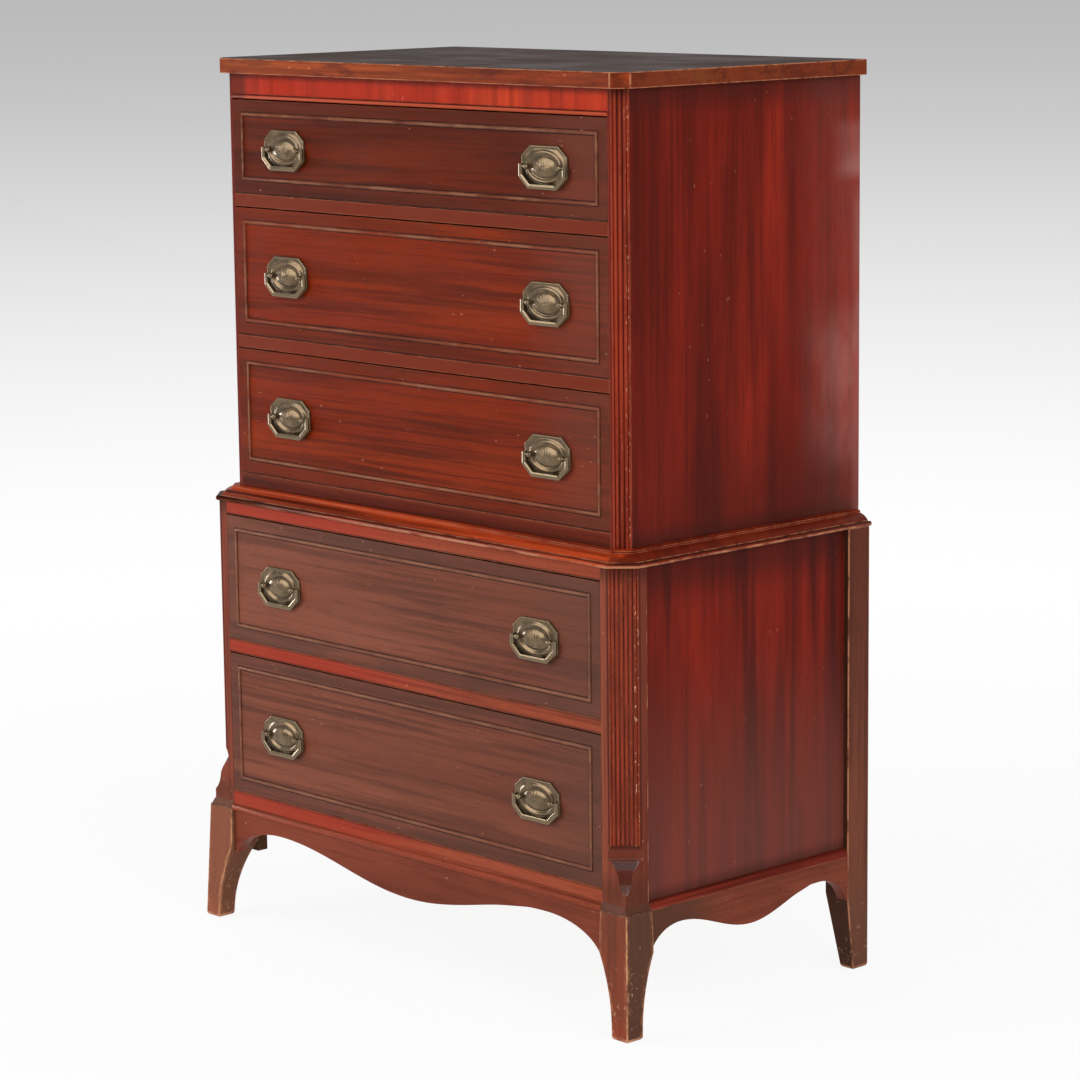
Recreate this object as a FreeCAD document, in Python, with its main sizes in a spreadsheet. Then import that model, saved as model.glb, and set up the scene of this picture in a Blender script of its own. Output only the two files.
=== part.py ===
import FreeCAD, Part
import Sketcher
import math
import os
import re
from types import SimpleNamespace
from FreeCAD import Placement, Rotation, Vector

# A chest on chest: three drawers in an upper case with canted, reeded corners, on a lower
# case of two drawers with a shaped apron, splayed front feet and back posts that run down
# as legs. Millimetres, +Z up, the front looks along -Y.
#
# While it is built, y = 0 is the front face of the upper case. Every sub-part is then
# shifted along Y so that the origin is under the middle of the whole box.

# Sizes that can each be set alone; they fill the spreadsheet.
SIZES = {
    # the two cases
    "total_height": 1320,
    "lower_width": 900,
    "lower_depth": 497.5,
    "joint_height": 656,
    "upper_inset": 28.5,
    "front_step": 27,
    "back_step": 8,
    # top board
    "top_thickness": 22,
    "top_side_overhang": 12.5,
    "top_front_overhang": 11,
    "top_cant": 20,
    # upper case
    "frieze_height": 37,
    "frieze_thickness": 22,
    "lip_height": 6,
    "upper_rail": 19,
    "upper_base": 42,
    "upper_post_width": 22.5,
    "upper_cant": 16.5,
    "upper_reed_pitch": 6.5,
    "upper_side_thickness": 19,
    "bottom_board": 12,
    "back_thickness": 6,
    "back_rabbet": 9,
    # waist moulding
    "moulding_front": 33,
    "moulding_side": 32.5,
    "moulding_cant": 31,
    # lower case
    "lower_top_rail": 19,
    "middle_rail": 21,
    "bottom_rail": 22,
    "lower_post_width": 45,
    "post_back": 18,
    "lower_cant": 28.2,
    "lower_reed_pitch": 6.1,
    "reed_end": 269,
    "tongue_height": 68,
    "back_post_width": 44,
    "back_post_depth": 44.5,
    "lower_side_thickness": 12,
    "panel_recess": 8.5,
    # reeds: radius as a share of their pitch, and how far the bed lies under the valleys
    "reed_fullness": 0.557,
    "reed_bed": 0.1,
    # rails, runners and dust panels
    "rail_depth": 60,
    "runner_thickness": 19,
    "runner_width": 27,
    "guide_height": 20,
    "dust_thickness": 5,
    # base
    "apron_top": 174,
    "apron_thickness": 20,
    "ledge_height": 11,
    "ledge_nose": 5,
    "side_bead_height": 12,
    "apron_low": 113,
    "apron_arch": 152,
    "apron_reach": 112,
    "apron_fall": 57,
    "side_low": 116,
    "side_arch": 148,
    "side_reach": 62,
    "side_fall": 51,
    "apron_ear": 108,
    "foot_proud_front": 5.5,
    "foot_proud_side": 7.5,
    "foot_splay": 7.5,
    "foot_edge_height": 177,
    "foot_step": 1,
    "foot_slope_height": 189,
    "foot_shoulder": 118,
    "foot_toe": 31.5,
    "leg_toe_width": 25,
    "leg_toe_depth": 32,
    "leg_taper": 112,
    "block_height": 73,
    "block_depth": 18,
    # drawers: heights are shared out among the openings by weight
    "weight_1": 141,
    "weight_2": 193,
    "weight_3": 191,
    "weight_4": 192,
    "weight_5": 217,
    "drawer_gap": 0.8,
    "drawer_top_gap": 2,
    "drawer_front": 20,
    "drawer_side": 11,
    "drawer_side_drop": 6,
    "drawer_back_drop": 14,
    "drawer_bottom": 6,
    "drawer_bottom_raise": 6,
    "drawer_back_room": 17.5,
    "bead_radius": 2.5,
    "bead_proud": 2,
    "bead_inset_side": 21.5,
    "bead_inset_top": 23,
    "bead_plate_gap": 3,
    # pulls
    "pull_share": 0.697,
    "pull_drop": 2,
    "low_pull_drop": 5,
    "plate_width": 90,
    "plate_height": 58,
    "plate_clip_x": 17,
    "plate_clip_z": 14,
    "plate_thickness": 2,
    "plate_rim_width": 3.2,
    "plate_rim_rise": 1.3,
    "ring_half_x": 26.5,
    "ring_half_z": 19.5,
    "ring_radius": 1.2,
    "dome_half_x": 23.5,
    "dome_half_z": 16.5,
    "dome_rise": 6,
    "post_half_spacing": 32,
    "collar_radius": 4,
    "collar_length": 2,
    "ball_radius": 4.2,
    "ball_reach": 7,
    "shank_radius": 2.3,
    "shank_gap": 0.3,
    "nut_across": 6,
    "nut_thickness": 4,
    "bail_half_width": 46.5,
    "bail_arm": 14,
    "bail_drop": 30.5,
    "bail_half_bottom": 28,
    "bail_width": 7,
    "bail_thickness": 3,
    "bail_bevel": 0.9,
    "bail_swing_gap": 0.35,
    "pin_radius": 1.6,
    "pin_clearance": 0.08,
    "pin_end_gap": 0.5,
    "pin_engagement": 6,
    # how far a cutting tool reaches past the faces that it goes through
    "tool_past": 1,
}

# Sizes that follow from those above, each a formula in them.
FITS = {
    "low_half": "lower_width / 2",
    "up_half": "low_half - upper_inset",
    "low_front": "-front_step",
    "low_back": "lower_depth - front_step",
    "up_back": "low_back + back_step",
    "foot_front": "low_front - foot_proud_front - foot_splay",
    "shift_y": "-(foot_front + up_back) / 2",
    "up_open": "up_half - upper_post_width",
    "low_open": "low_half - lower_post_width",
    "top_half": "up_half + top_side_overhang",
    "top_front": "-top_front_overhang",
    "top_cant_x": "top_half - top_cant",
    "top_cant_y": "top_front + top_cant",
    "top_under": "total_height - top_thickness",
    "frieze_under": "top_under - frieze_height",
    "up_side_inner": "up_half - upper_side_thickness",
    "up_back_inner": "up_back - back_thickness",
    "low_side_outer": "low_half - panel_recess",
    "low_side_inner": "low_side_outer - lower_side_thickness",
    "low_back_inner": "low_back - back_thickness",
    "back_post_front": "low_back - back_post_depth",
    "back_post_inner": "low_half - back_post_width",
    "low_rail_back": "low_front + rail_depth",
    "ledge_top": "apron_top + ledge_height",
    "up_free": "frieze_under - joint_height - upper_base - 2 * upper_rail",
    "up_weight": "weight_1 + weight_2 + weight_3",
    "low_free": "joint_height - lower_top_rail - middle_rail - bottom_rail - ledge_top",
    "low_weight": "weight_4 + weight_5",
    "floor_3": "joint_height + upper_base",
    "ceiling_3": "floor_3 + up_free * weight_3 / up_weight",
    "floor_2": "ceiling_3 + upper_rail",
    "ceiling_2": "floor_2 + up_free * weight_2 / up_weight",
    "floor_1": "ceiling_2 + upper_rail",
    "ceiling_1": "frieze_under",
    "floor_5": "ledge_top + bottom_rail",
    "ceiling_5": "floor_5 + low_free * weight_5 / low_weight",
    "floor_4": "ceiling_5 + middle_rail",
    "ceiling_4": "joint_height - lower_top_rail",
    "pull_x": "up_open * pull_share",
    "bore_radius": "pin_radius + pin_clearance",
    "pin_tip": "post_half_spacing + ball_radius - pin_engagement",
    # the corner over the pin clears the rim of the plate as the bail swings up
    "bail_room": "ball_reach - plate_thickness - plate_rim_rise - bail_swing_gap",
    "bail_top": "sqrt(bail_room^2 - bail_thickness^2 / 4)",
}

doc = FreeCAD.newDocument("chest_on_chest")
sheet = doc.addObject("Spreadsheet::Sheet", "dims")
for row, (alias, amount) in enumerate(SIZES.items(), start=1):
    sheet.set("A%d" % row, alias)
    sheet.set("B%d" % row, str(amount))
    sheet.setAlias("B%d" % row, alias)
doc.recompute()

WORD = re.compile(r"[a-z]+(?:_[a-z0-9]+)+")
fits = doc.addObject("App::VarSet", "fits")


def expression(text):
    """The text with each size written as a reference to the sheet or to the fits."""

    def reference(match):
        word = match.group(0)
        return ("dims." if word in SIZES else "fits.") + word

    return WORD.sub(reference, str(text))


for fit, formula in FITS.items():
    fits.addProperty("App::PropertyFloat", fit, "Fits")
    fits.setExpression(fit, expression(formula))
doc.recompute()

# The same values for the shapes that are made in code.
size = SimpleNamespace(
    **{alias: float(sheet.get(alias)) for alias in SIZES},
    **{fit: getattr(fits, fit) for fit in FITS},
)


def bind(obj, **formulas):
    """Binds properties to formulas; a double underscore stands for a dot."""
    for name, text in formulas.items():
        obj.setExpression(name.replace("__", "."), expression(text))
    return obj


def box(name, x, y, height):
    """A box between pairs of formulas along X, Y and Z."""
    return bind(
        doc.addObject("Part::Box", name),
        Length="(%s) - (%s)" % (x[1], x[0]),
        Width="(%s) - (%s)" % (y[1], y[0]),
        Height="(%s) - (%s)" % (height[1], height[0]),
        Placement__Base__x=x[0],
        Placement__Base__y=y[0],
        Placement__Base__z=height[0],
    )


def cylinder(name, radius, length, start, turn=Rotation()):
    """A cylinder whose axis starts at three formulas and runs along Z after a turn."""
    rod = doc.addObject("Part::Cylinder", name)
    rod.Placement = Placement(Vector(), turn)
    return bind(
        rod,
        Radius=radius,
        Height=length,
        Placement__Base__x=start[0],
        Placement__Base__y=start[1],
        Placement__Base__z=start[2],
    )


ALONG_X = Rotation(Vector(0, 1, 0), 90)
ALONG_Y = Rotation(Vector(1, 0, 0), -90)


def cut(name, base, tool):
    made = doc.addObject("Part::Cut", name)
    made.Base = base
    made.Tool = tool
    return made


def common(name, first, second):
    made = doc.addObject("Part::Common", name)
    made.Base = first
    made.Tool = second
    return made


def fuse(name, *pieces):
    made = doc.addObject("Part::MultiFuse", name)
    made.Shapes = list(pieces)
    return made


def group(name, *pieces):
    """Separate solids held together in one object."""
    made = doc.addObject("Part::Compound", name)
    made.Links = list(pieces)
    return made


def mirrored(name, source):
    """The source on the other side of the middle plane x = 0."""
    made = doc.addObject("Part::Mirroring", name)
    made.Source = source
    made.Normal = Vector(1, 0, 0)
    return made


def shaped(name, shape):
    made = doc.addObject("Part::Feature", name)
    made.Shape = shape
    made.Placement = shape.Placement
    return made


def placed(name, source, x="0", y="0", height="0"):
    """A copy of the source that stays linked to it, at three formulas."""
    link = doc.addObject("App::Link", name)
    link.LinkedObject = source
    return bind(
        link,
        Placement__Base__x=x,
        Placement__Base__y=y,
        Placement__Base__z=height,
    )


nodes = []


def publish(node, *pieces):
    """Makes the pieces one sub-part with its own label, in the frame of the whole."""
    made = group(node, *pieces)
    made.Label = node
    bind(made, Placement__Base__y="shift_y")
    nodes.append(made)


def publish_pair(node, right):
    publish(node + "_right", right)
    publish(node + "_left", mirrored(node + "_mirror", right))


# Shapes made in code ------------------------------------------------------------


def rectangle(x0, y0, x1, y1, height):
    corners = [(x0, y0), (x1, y0), (x1, y1), (x0, y1)]
    points = [Vector(x, y, height) for x, y in corners]
    return Part.makePolygon(points + points[:1])


def frustum(lower, upper):
    return Part.makeLoft([lower, upper], True, True)


def arc(first, middle, last):
    return Part.Arc(first, middle, last).toShape()


def prism(edges, direction):
    return Part.Face(Part.Wire(edges)).extrude(direction)


def toe_cutter(shoulder, toe, rise):
    """Takes the waste from one inner face of a foot: a hollow arc, upright at the floor.

    The face is at x = shoulder above the rise and at x = toe on the floor.
    """
    drop = toe - shoulder
    radius = (drop**2 + rise**2) / (2 * drop)
    middle = math.asin(rise / radius) / 2
    floor = Vector(toe, 0, 0)
    bend = Vector(toe - radius + radius * math.cos(middle), 0, radius * math.sin(middle))
    top = Vector(shoulder, 0, rise)
    back = Vector(shoulder - drop, 0, rise)
    under = Vector(shoulder - drop, 0, 0)
    edges = [
        arc(floor, bend, top),
        Part.makeLine(top, back),
        Part.makeLine(back, under),
        Part.makeLine(under, floor),
    ]
    waste = prism(edges, Vector(0, 4 * size.lower_post_width, 0))
    waste.translate(Vector(0, -2 * size.lower_post_width, 0))
    return waste


def front_foot():
    """The right front foot: splayed, hollowed on both inner faces, sloped up to the post."""
    side = size.low_half + size.foot_proud_side
    front = size.low_front - size.foot_proud_front
    foot = frustum(
        rectangle(size.low_open, front - size.foot_splay, side + size.foot_splay, size.post_back, 0),
        rectangle(size.low_open, front, side, size.post_back, size.foot_edge_height),
    )
    step = size.foot_step
    slope = frustum(
        rectangle(size.low_open, front + step, side - step, size.post_back, size.foot_edge_height),
        rectangle(size.low_open, size.low_front, size.low_half, size.post_back, size.foot_slope_height),
    )
    seat = Part.makeBox(
        size.lower_post_width,
        size.post_back - size.low_front,
        size.foot_slope_height - size.ledge_top,
        Vector(size.low_open, size.low_front, size.ledge_top),
    )
    inner = toe_cutter(size.low_open, side + size.foot_splay - size.foot_toe, size.foot_shoulder)
    rear = toe_cutter(-size.post_back, -(front - size.foot_splay + size.foot_toe), size.foot_shoulder)
    rear.rotate(Vector(), Vector(0, 0, 1), -90)
    rear.translate(Vector(size.low_half, 0, 0))
    return foot.fuse(slope).cut(seat).cut(inner).cut(rear).removeSplitter()


def apron(half, low, arch, reach, fall):
    """An apron from x = -half to half with its face at y = 0: a drop in the middle, then
    an arch on each side that comes down to a short ear."""
    crest = half - reach
    steps = 12
    wave = []
    for step in range(steps + 1):
        x = crest * (2 * step / steps - 1)
        rise = (arch - low) * (1 - math.cos(math.pi * x / crest)) / 2
        wave.append(Vector(x, low + rise, 0))
    curve = Part.BSplineCurve()
    curve.interpolate(Points=wave, InitialTangent=Vector(1, 0, 0), FinalTangent=Vector(1, 0, 0))
    ear = math.asin((size.apron_ear - arch + fall) / fall)
    tips = {}
    arches = []
    for side in (-1, 1):
        oval = Part.Ellipse(Vector(side * crest, arch - fall, 0), max(reach, fall), min(reach, fall))
        span = (math.pi / 2, math.pi - ear) if side < 0 else (ear, math.pi / 2)
        piece = Part.ArcOfEllipse(oval, *span)
        arches.append(piece.toShape())
        tips[side] = piece.EndPoint if side < 0 else piece.StartPoint
    left, right = tips[-1], tips[1]
    outline = [
        left,
        Vector(-half, size.apron_ear, 0),
        Vector(-half, size.apron_top, 0),
        Vector(half, size.apron_top, 0),
        Vector(half, size.apron_ear, 0),
        right,
    ]
    edges = [arches[0], curve.toShape(), arches[1]] + Part.makePolygon(outline).Edges
    board = prism(Part.__sortEdges__(edges), Vector(0, 0, -size.apron_thickness))
    board.rotate(Vector(), Vector(1, 0, 0), 90)
    return board


def tongue_cutter():
    """Takes the waste above the lamb's tongue of the right lower post.

    Drawn as distance out of the cant against height, then turned onto the diagonal.
    """
    corner = size.lower_cant / math.sqrt(2)
    scoop, ledge = 0.21 * corner, size.reed_end - 0.3 * size.tongue_height
    foot = size.reed_end - size.tongue_height

    def point(out, height):
        return Vector(out, 0, height)

    def level(share):
        return foot + share * (ledge - foot)

    tongue = Part.BSplineCurve()
    tongue.interpolate(
        [
            point(0.03 * corner, ledge),
            point(0.34 * corner, level(0.77)),
            point(0.47 * corner, level(0.64)),
            point(0.56 * corner, level(0.42)),
            point(0.71 * corner, level(0.2)),
            point(corner, foot),
        ]
    )
    outside = 2 * corner
    edges = [
        tongue.toShape(),
        Part.makeLine(point(0.03 * corner, ledge), point(-scoop, ledge)),
        arc(
            point(-scoop, ledge),
            point(-0.8 * scoop, ledge + 0.62 * (size.reed_end - ledge)),
            point(-0.2 * scoop, size.reed_end),
        ),
        Part.makeLine(point(-0.2 * scoop, size.reed_end), point(outside, size.reed_end)),
        Part.makeLine(point(outside, size.reed_end), point(outside, foot)),
        Part.makeLine(point(outside, foot), point(corner, foot)),
    ]
    waste = prism(Part.__sortEdges__(edges), Vector(0, 4 * size.lower_cant, 0))
    waste.translate(Vector(0, -2 * size.lower_cant, 0))
    waste.rotate(Vector(), Vector(0, 0, 1), -45)
    waste.translate(Vector(size.low_half - size.lower_cant / 2, size.low_front + size.lower_cant / 2, 0))
    return waste


# Waist moulding: distance out of the wall as a share of its reach, and height.
MOULDING_SHOULDER = [(0, 0), (0, 21), (0.29, 20.5), (0.32, 19.8), (0.32, 16.8)]
MOULDING_OVOLO = [(0.32, 16.8), (0.56, 13.6), (0.77, 7.4)]
MOULDING_GROOVE = [(0.77, 7.4), (0.77, 6.6), (0.84, 6.4)]
MOULDING_BEAD = [(0.84, 6.4), (1, 3.2), (0.94, 0)]


def moulding_section(inner, outer):
    """The moulding's outline between a point of the upper case and one of the rim."""

    def point(share, height):
        x = inner[0] + share * (outer[0] - inner[0])
        y = inner[1] + share * (outer[1] - inner[1])
        return Vector(x, y, size.joint_height + height)

    edges = Part.makePolygon([point(*p) for p in MOULDING_SHOULDER]).Edges
    edges.append(arc(*[point(*p) for p in MOULDING_OVOLO]))
    edges += Part.makePolygon([point(*p) for p in MOULDING_GROOVE]).Edges
    edges.append(arc(*[point(*p) for p in MOULDING_BEAD]))
    edges.append(Part.makeLine(point(*MOULDING_BEAD[-1]), point(*MOULDING_SHOULDER[0])))
    return Part.Wire(edges)


def waist_moulding():
    """Five lengths, mitred where they meet: side, cant, front, cant, side."""
    inner = [
        (size.up_half, size.low_back),
        (size.up_half, size.upper_cant),
        (size.up_half - size.upper_cant, 0),
    ]
    rim = size.up_half + size.moulding_side
    outer = [
        (rim, size.low_back),
        (rim, size.moulding_cant - size.moulding_front),
        (rim - size.moulding_cant, -size.moulding_front),
    ]
    corners = list(zip(inner, outer))
    corners += [((-a[0], a[1]), (-b[0], b[1])) for a, b in reversed(corners)]
    sections = [moulding_section(a, b) for a, b in corners]
    lengths = [frustum(a, b) for a, b in zip(sections, sections[1:])]
    return Part.makeCompound(lengths)


def octagon(grow, height):
    """The plate's outline, grown outwards, as a wire at y = -height."""
    half_x = size.plate_width / 2 + grow
    half_z = size.plate_height / 2 + grow
    clip_x = size.plate_clip_x + grow * 0.7
    clip_z = size.plate_clip_z + grow * 0.7
    quarter = [(half_x, half_z - clip_z), (half_x - clip_x, half_z)]
    points = quarter + [(-a, b) for a, b in reversed(quarter)]
    points += [(-a, -b) for a, b in points]
    wire = [Vector(a, -height, b) for a, b in points]
    return Part.makePolygon(wire + wire[:1])


def oval_ring(half_x, half_z, radius, height):
    """A round-section ring along an ellipse, its middle at y = -height."""
    oval = Part.Ellipse(Vector(), half_x, half_z).toShape()
    oval.rotate(Vector(), Vector(1, 0, 0), 90)
    oval.translate(Vector(0, -height, 0))
    profile = Part.Wire(Part.makeCircle(radius, Vector(half_x, -height, 0), Vector(0, 0, 1)))
    return Part.Wire(oval).makePipeShell([profile], True, True)


def pull_plate():
    """An octagonal plate with a raised rim, an oval ring and a domed boss."""
    rim_face = size.plate_thickness + size.plate_rim_rise
    plate = frustum(octagon(0, 0), octagon(-0.6, rim_face))
    sunk = frustum(
        octagon(-size.plate_rim_width, size.plate_thickness),
        octagon(-size.plate_rim_width + 1.2, rim_face + 0.5),
    )
    plate = plate.cut(sunk)
    dome = Part.makeSphere(1)
    stretch = FreeCAD.Matrix()
    stretch.scale(size.dome_half_x, size.dome_rise, size.dome_half_z)
    dome = dome.transformGeometry(stretch)
    dome.translate(Vector(0, -size.plate_thickness, 0))
    depth = 2 * size.dome_rise
    front = Part.makeBox(
        size.plate_width,
        depth,
        size.plate_height,
        Vector(-size.plate_width / 2, -depth - size.plate_thickness / 2, -size.plate_height / 2),
    )
    plate = plate.fuse(dome.common(front))
    ring = oval_ring(size.ring_half_x, size.ring_half_z, size.ring_radius, size.plate_thickness)
    plate = plate.fuse(ring.common(front))
    for side in (-1, 1):
        hole = Part.makeCylinder(
            size.shank_radius + size.shank_gap,
            4 * size.plate_thickness,
            Vector(side * size.post_half_spacing, 2 * size.plate_thickness, 0),
            Vector(0, -1, 0),
        )
        plate = plate.cut(hole)
    return plate


def bail():
    """The lower half of an octagon in flat strip, with a pin turned in at each end."""
    wide, drop, arm = size.bail_half_width, size.bail_drop, size.bail_arm
    turn = math.atan2(wide - size.bail_half_bottom, drop - arm)
    inside = size.bail_width
    outer = [(wide, size.bail_top), (wide, -arm), (size.bail_half_bottom, -drop)]
    inner = [
        (wide - inside, size.bail_top),
        (wide - inside, -arm + inside * math.tan(turn / 2)),
        (
            size.bail_half_bottom - inside * math.tan((math.pi / 2 - turn) / 2),
            -drop + inside,
        ),
    ]
    outline = outer + [(-a, b) for a, b in reversed(outer)]
    outline += [(-a, b) for a, b in inner] + list(reversed(inner))
    back = size.bail_thickness / 2 - size.ball_reach
    points = [Vector(a, back, b) for a, b in outline]
    strip = Part.Face(Part.makePolygon(points + points[:1])).extrude(
        Vector(0, -size.bail_thickness, 0)
    )
    face = back - size.bail_thickness
    edges = [e for e in strip.Edges if all(abs(v.Y - face) < 1e-6 for v in e.Vertexes)]
    strip = strip.makeChamfer(size.bail_bevel, edges)
    for side in (-1, 1):
        pin = Part.makeCylinder(
            size.pin_radius,
            wide - inside / 2 - size.pin_tip,
            Vector(side * (wide - inside / 2), -size.ball_reach, 0),
            Vector(-side, 0, 0),
        )
        strip = strip.fuse(pin)
    return strip


def bead_ring(half, low, high, front):
    """A round bead along a rectangle on a drawer front, with square corners."""
    depth = front + size.bead_radius - size.bead_proud
    corners = [(-half, low), (half, low), (half, high), (-half, high), (-half, low)]
    path = Part.makePolygon([Vector(x, depth, level) for x, level in corners])
    circle = Part.makeCircle(size.bead_radius, Vector(-half, depth, low), Vector(1, 0, 0))
    return path.makePipeShell([Part.Wire(circle)], True, True, 1)


def mirror_sign(formula):
    return formula[1:] if formula.startswith("-") else "-" + formula


def value(name):
    """The present value of a size whose name may carry a minus sign."""
    return -getattr(size, name[1:]) if name.startswith("-") else getattr(size, name)


def pad(name, corners, base, thickness):
    """A body whose outline in plan runs through corners given by the names of sizes."""
    body = doc.addObject("PartDesign::Body", name)
    outline = body.newObject("Sketcher::SketchObject", name + "_outline")
    ground = [part for part in body.Origin.OriginFeatures if part.Role == "XY_Plane"][0]
    outline.AttachmentSupport = [(ground, "")]
    outline.MapMode = "FlatFace"
    points = [Vector(value(x), value(y), 0) for x, y in corners]
    count = len(points)
    for index in range(count):
        outline.addGeometry(Part.LineSegment(points[index], points[(index + 1) % count]), False)
    for index in range(count):
        meeting = Sketcher.Constraint("Coincident", index, 2, (index + 1) % count, 1)
        outline.addConstraint(meeting)
    for index, (corner, names) in enumerate(zip(points, corners)):
        for kind, reach, formula in zip(("DistanceX", "DistanceY"), corner, names):
            rule = outline.addConstraint(Sketcher.Constraint(kind, -1, 1, index, 1, reach))
            outline.setExpression("Constraints[%d]" % rule, expression(formula))
    bind(outline, AttachmentOffset__Base__z=base)
    block = body.newObject("PartDesign::Pad", name + "_pad")
    block.Profile = outline
    bind(block, Length=thickness)
    return body


def canted_post(name, half, front, width, height, cant, pitch, reeds):
    """The blank of a right corner post, its outer front edge cut off and reeded."""
    low, high = height
    blank = box(name + "_blank", ("%s - %s" % (half, width), half), (front, "post_back"), height)
    share = "%.9f" % math.sqrt(0.5)
    middle_x = "%s - %s / 2" % (half, cant)
    middle_y = "%s + %s / 2" % (front, cant)
    radius = "reed_fullness * %s" % pitch
    valley = "%s * (reed_fullness - sqrt(reed_fullness^2 - 0.25))" % pitch

    def slab(part, breadth, depth):
        """A slab along the cant, centred on it, that reaches this deep behind its face."""
        tool = doc.addObject("Part::Box", name + part)
        tool.Placement = Placement(Vector(), Rotation(Vector(0, 0, 1), 45))
        out = "(%s - (%s) / 2)" % (cant, breadth)
        return bind(
            tool,
            Length=breadth,
            Width="%s + %s" % (cant, depth),
            Height="%s - (%s)" % (high, low),
            Placement__Base__x="%s + %s * %s" % (middle_x, share, out),
            Placement__Base__y="%s - %s * (%s + (%s) / 2)" % (middle_y, share, cant, breadth),
            Placement__Base__z=low,
        )

    post = cut(name + "_cant", blank, slab("_waste", "3 * %s" % cant, "0"))
    post = cut(name + "_bed", post, slab("_band", "%d * %s" % (reeds, pitch), valley + " + reed_bed"))
    rods = []
    for index in range(reeds):
        along = "%g * %s" % (index - (reeds - 1) / 2, pitch)
        centre = (
            "%s + %s * (%s - %s)" % (middle_x, share, along, radius),
            "%s + %s * (%s + %s)" % (middle_y, share, along, radius),
            low,
        )
        rods.append(cylinder(name + "_reed_%d" % (index + 1), radius, "%s - (%s)" % (high, low), centre))
    return fuse(name + "_reeded", post, common(name + "_reeds", fuse(name + "_rods", *rods), blank))


# Upper case ---------------------------------------------------------------------

top_corners = [("top_half", "up_back"), ("top_half", "top_cant_y"), ("top_cant_x", "top_front")]
top_corners += [(mirror_sign(x), y) for x, y in reversed(top_corners)]
publish("top_board", pad("top", top_corners, "top_under", "top_thickness"))

upper_height = ("joint_height", "top_under")
upper_side = cut(
    "upper_side",
    box("upper_side_board", ("up_side_inner", "up_half"), ("post_back", "up_back"), upper_height),
    box(
        "upper_side_rabbet",
        ("up_side_inner - tool_past", "up_side_inner + back_rabbet"),
        ("up_back_inner", "up_back + tool_past"),
        ("joint_height - tool_past", "top_under + tool_past"),
    ),
)
publish("upper_side_panels", upper_side, mirrored("upper_side_mirror", upper_side))
upper_post = canted_post(
    "upper_post", "up_half", "0", "upper_post_width", upper_height, "upper_cant", "upper_reed_pitch", 3
)
publish_pair("upper_corner_post", upper_post)

between_posts = ("-up_open", "up_open")
lip = cylinder(
    "frieze_lip",
    "lip_height / 2",
    "2 * up_open",
    ("-up_open", "0", "frieze_under + lip_height / 2"),
    ALONG_X,
)
frieze = box("frieze_board", between_posts, ("0", "frieze_thickness"), ("frieze_under", "top_under"))
publish("frieze_rail", fuse("frieze", frieze, lip))

rails = [
    box("upper_rail_%d" % n, between_posts, ("0", "rail_depth"), ("ceiling_%d" % (n + 1), "floor_%d" % n))
    for n in (1, 2)
]
base_rail = box("upper_base_rail", between_posts, ("0", "frieze_thickness"), ("joint_height", "floor_3"))
publish("upper_drawer_rails", base_rail, *rails)

inside_upper = ("-up_side_inner", "up_side_inner")
publish(
    "upper_bottom_panel",
    box(
        "upper_bottom",
        inside_upper,
        ("frieze_thickness", "up_back_inner"),
        ("joint_height", "joint_height + bottom_board"),
    ),
)
publish(
    "upper_back_panel",
    box(
        "upper_back",
        ("-up_side_inner - back_rabbet", "up_side_inner + back_rabbet"),
        ("up_back_inner", "up_back"),
        upper_height,
    ),
)
publish("waist_moulding", shaped("moulding", waist_moulding()))

# Lower case ---------------------------------------------------------------------

lower_height = ("ledge_top", "joint_height")
reeded = canted_post(
    "lower_post",
    "low_half",
    "low_front",
    "lower_post_width",
    ("reed_end", "joint_height"),
    "lower_cant",
    "lower_reed_pitch",
    6,
)
plain = box(
    "lower_post_foot",
    ("low_open", "low_half"),
    ("low_front", "post_back"),
    ("ledge_top", "reed_end"),
)
tongued = cut("lower_post_tongued", plain, shaped("tongue_waste", tongue_cutter()))
publish_pair("lower_corner_post", fuse("lower_post_whole", reeded, tongued))

back_post = fuse(
    "back_post",
    box(
        "back_post_upright",
        ("back_post_inner", "low_half"),
        ("back_post_front", "low_back"),
        ("leg_taper", "joint_height"),
    ),
    shaped(
        "back_leg",
        frustum(
            rectangle(
                size.low_half - size.leg_toe_width,
                size.low_back - size.leg_toe_depth,
                size.low_half,
                size.low_back,
                0,
            ),
            rectangle(
                size.back_post_inner,
                size.back_post_front,
                size.low_half,
                size.low_back,
                size.leg_taper,
            ),
        ),
    ),
)
publish_pair("lower_back_post", back_post)

side_span = ("post_back", "back_post_front")
side_panel = box(
    "lower_side", ("low_side_inner", "low_side_outer"), side_span, ("apron_top", "joint_height")
)
publish("lower_side_panels", side_panel, mirrored("lower_side_mirror", side_panel))

bead_corner = Vector(size.low_side_outer, size.post_back, size.apron_top)
bead_bend = Vector(size.low_half, size.post_back, size.apron_top + size.side_bead_height / 3)
bead_head = Vector(size.low_side_outer, size.post_back, size.apron_top + size.side_bead_height)
bead_round = Vector(
    size.low_half - 0.3 * size.panel_recess,
    size.post_back,
    size.apron_top + 0.8 * size.side_bead_height,
)
bead_toe = Vector(size.low_half, size.post_back, size.apron_top)
bead_edges = [
    Part.makeLine(bead_corner, bead_toe),
    Part.makeLine(bead_toe, bead_bend),
    arc(bead_bend, bead_round, bead_head),
    Part.makeLine(bead_head, bead_corner),
]
side_length = Vector(0, size.back_post_front - size.post_back, 0)
side_bead = shaped("side_bead", prism(bead_edges, side_length))
publish("side_panel_beads", side_bead, mirrored("side_bead_mirror", side_bead))

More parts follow.
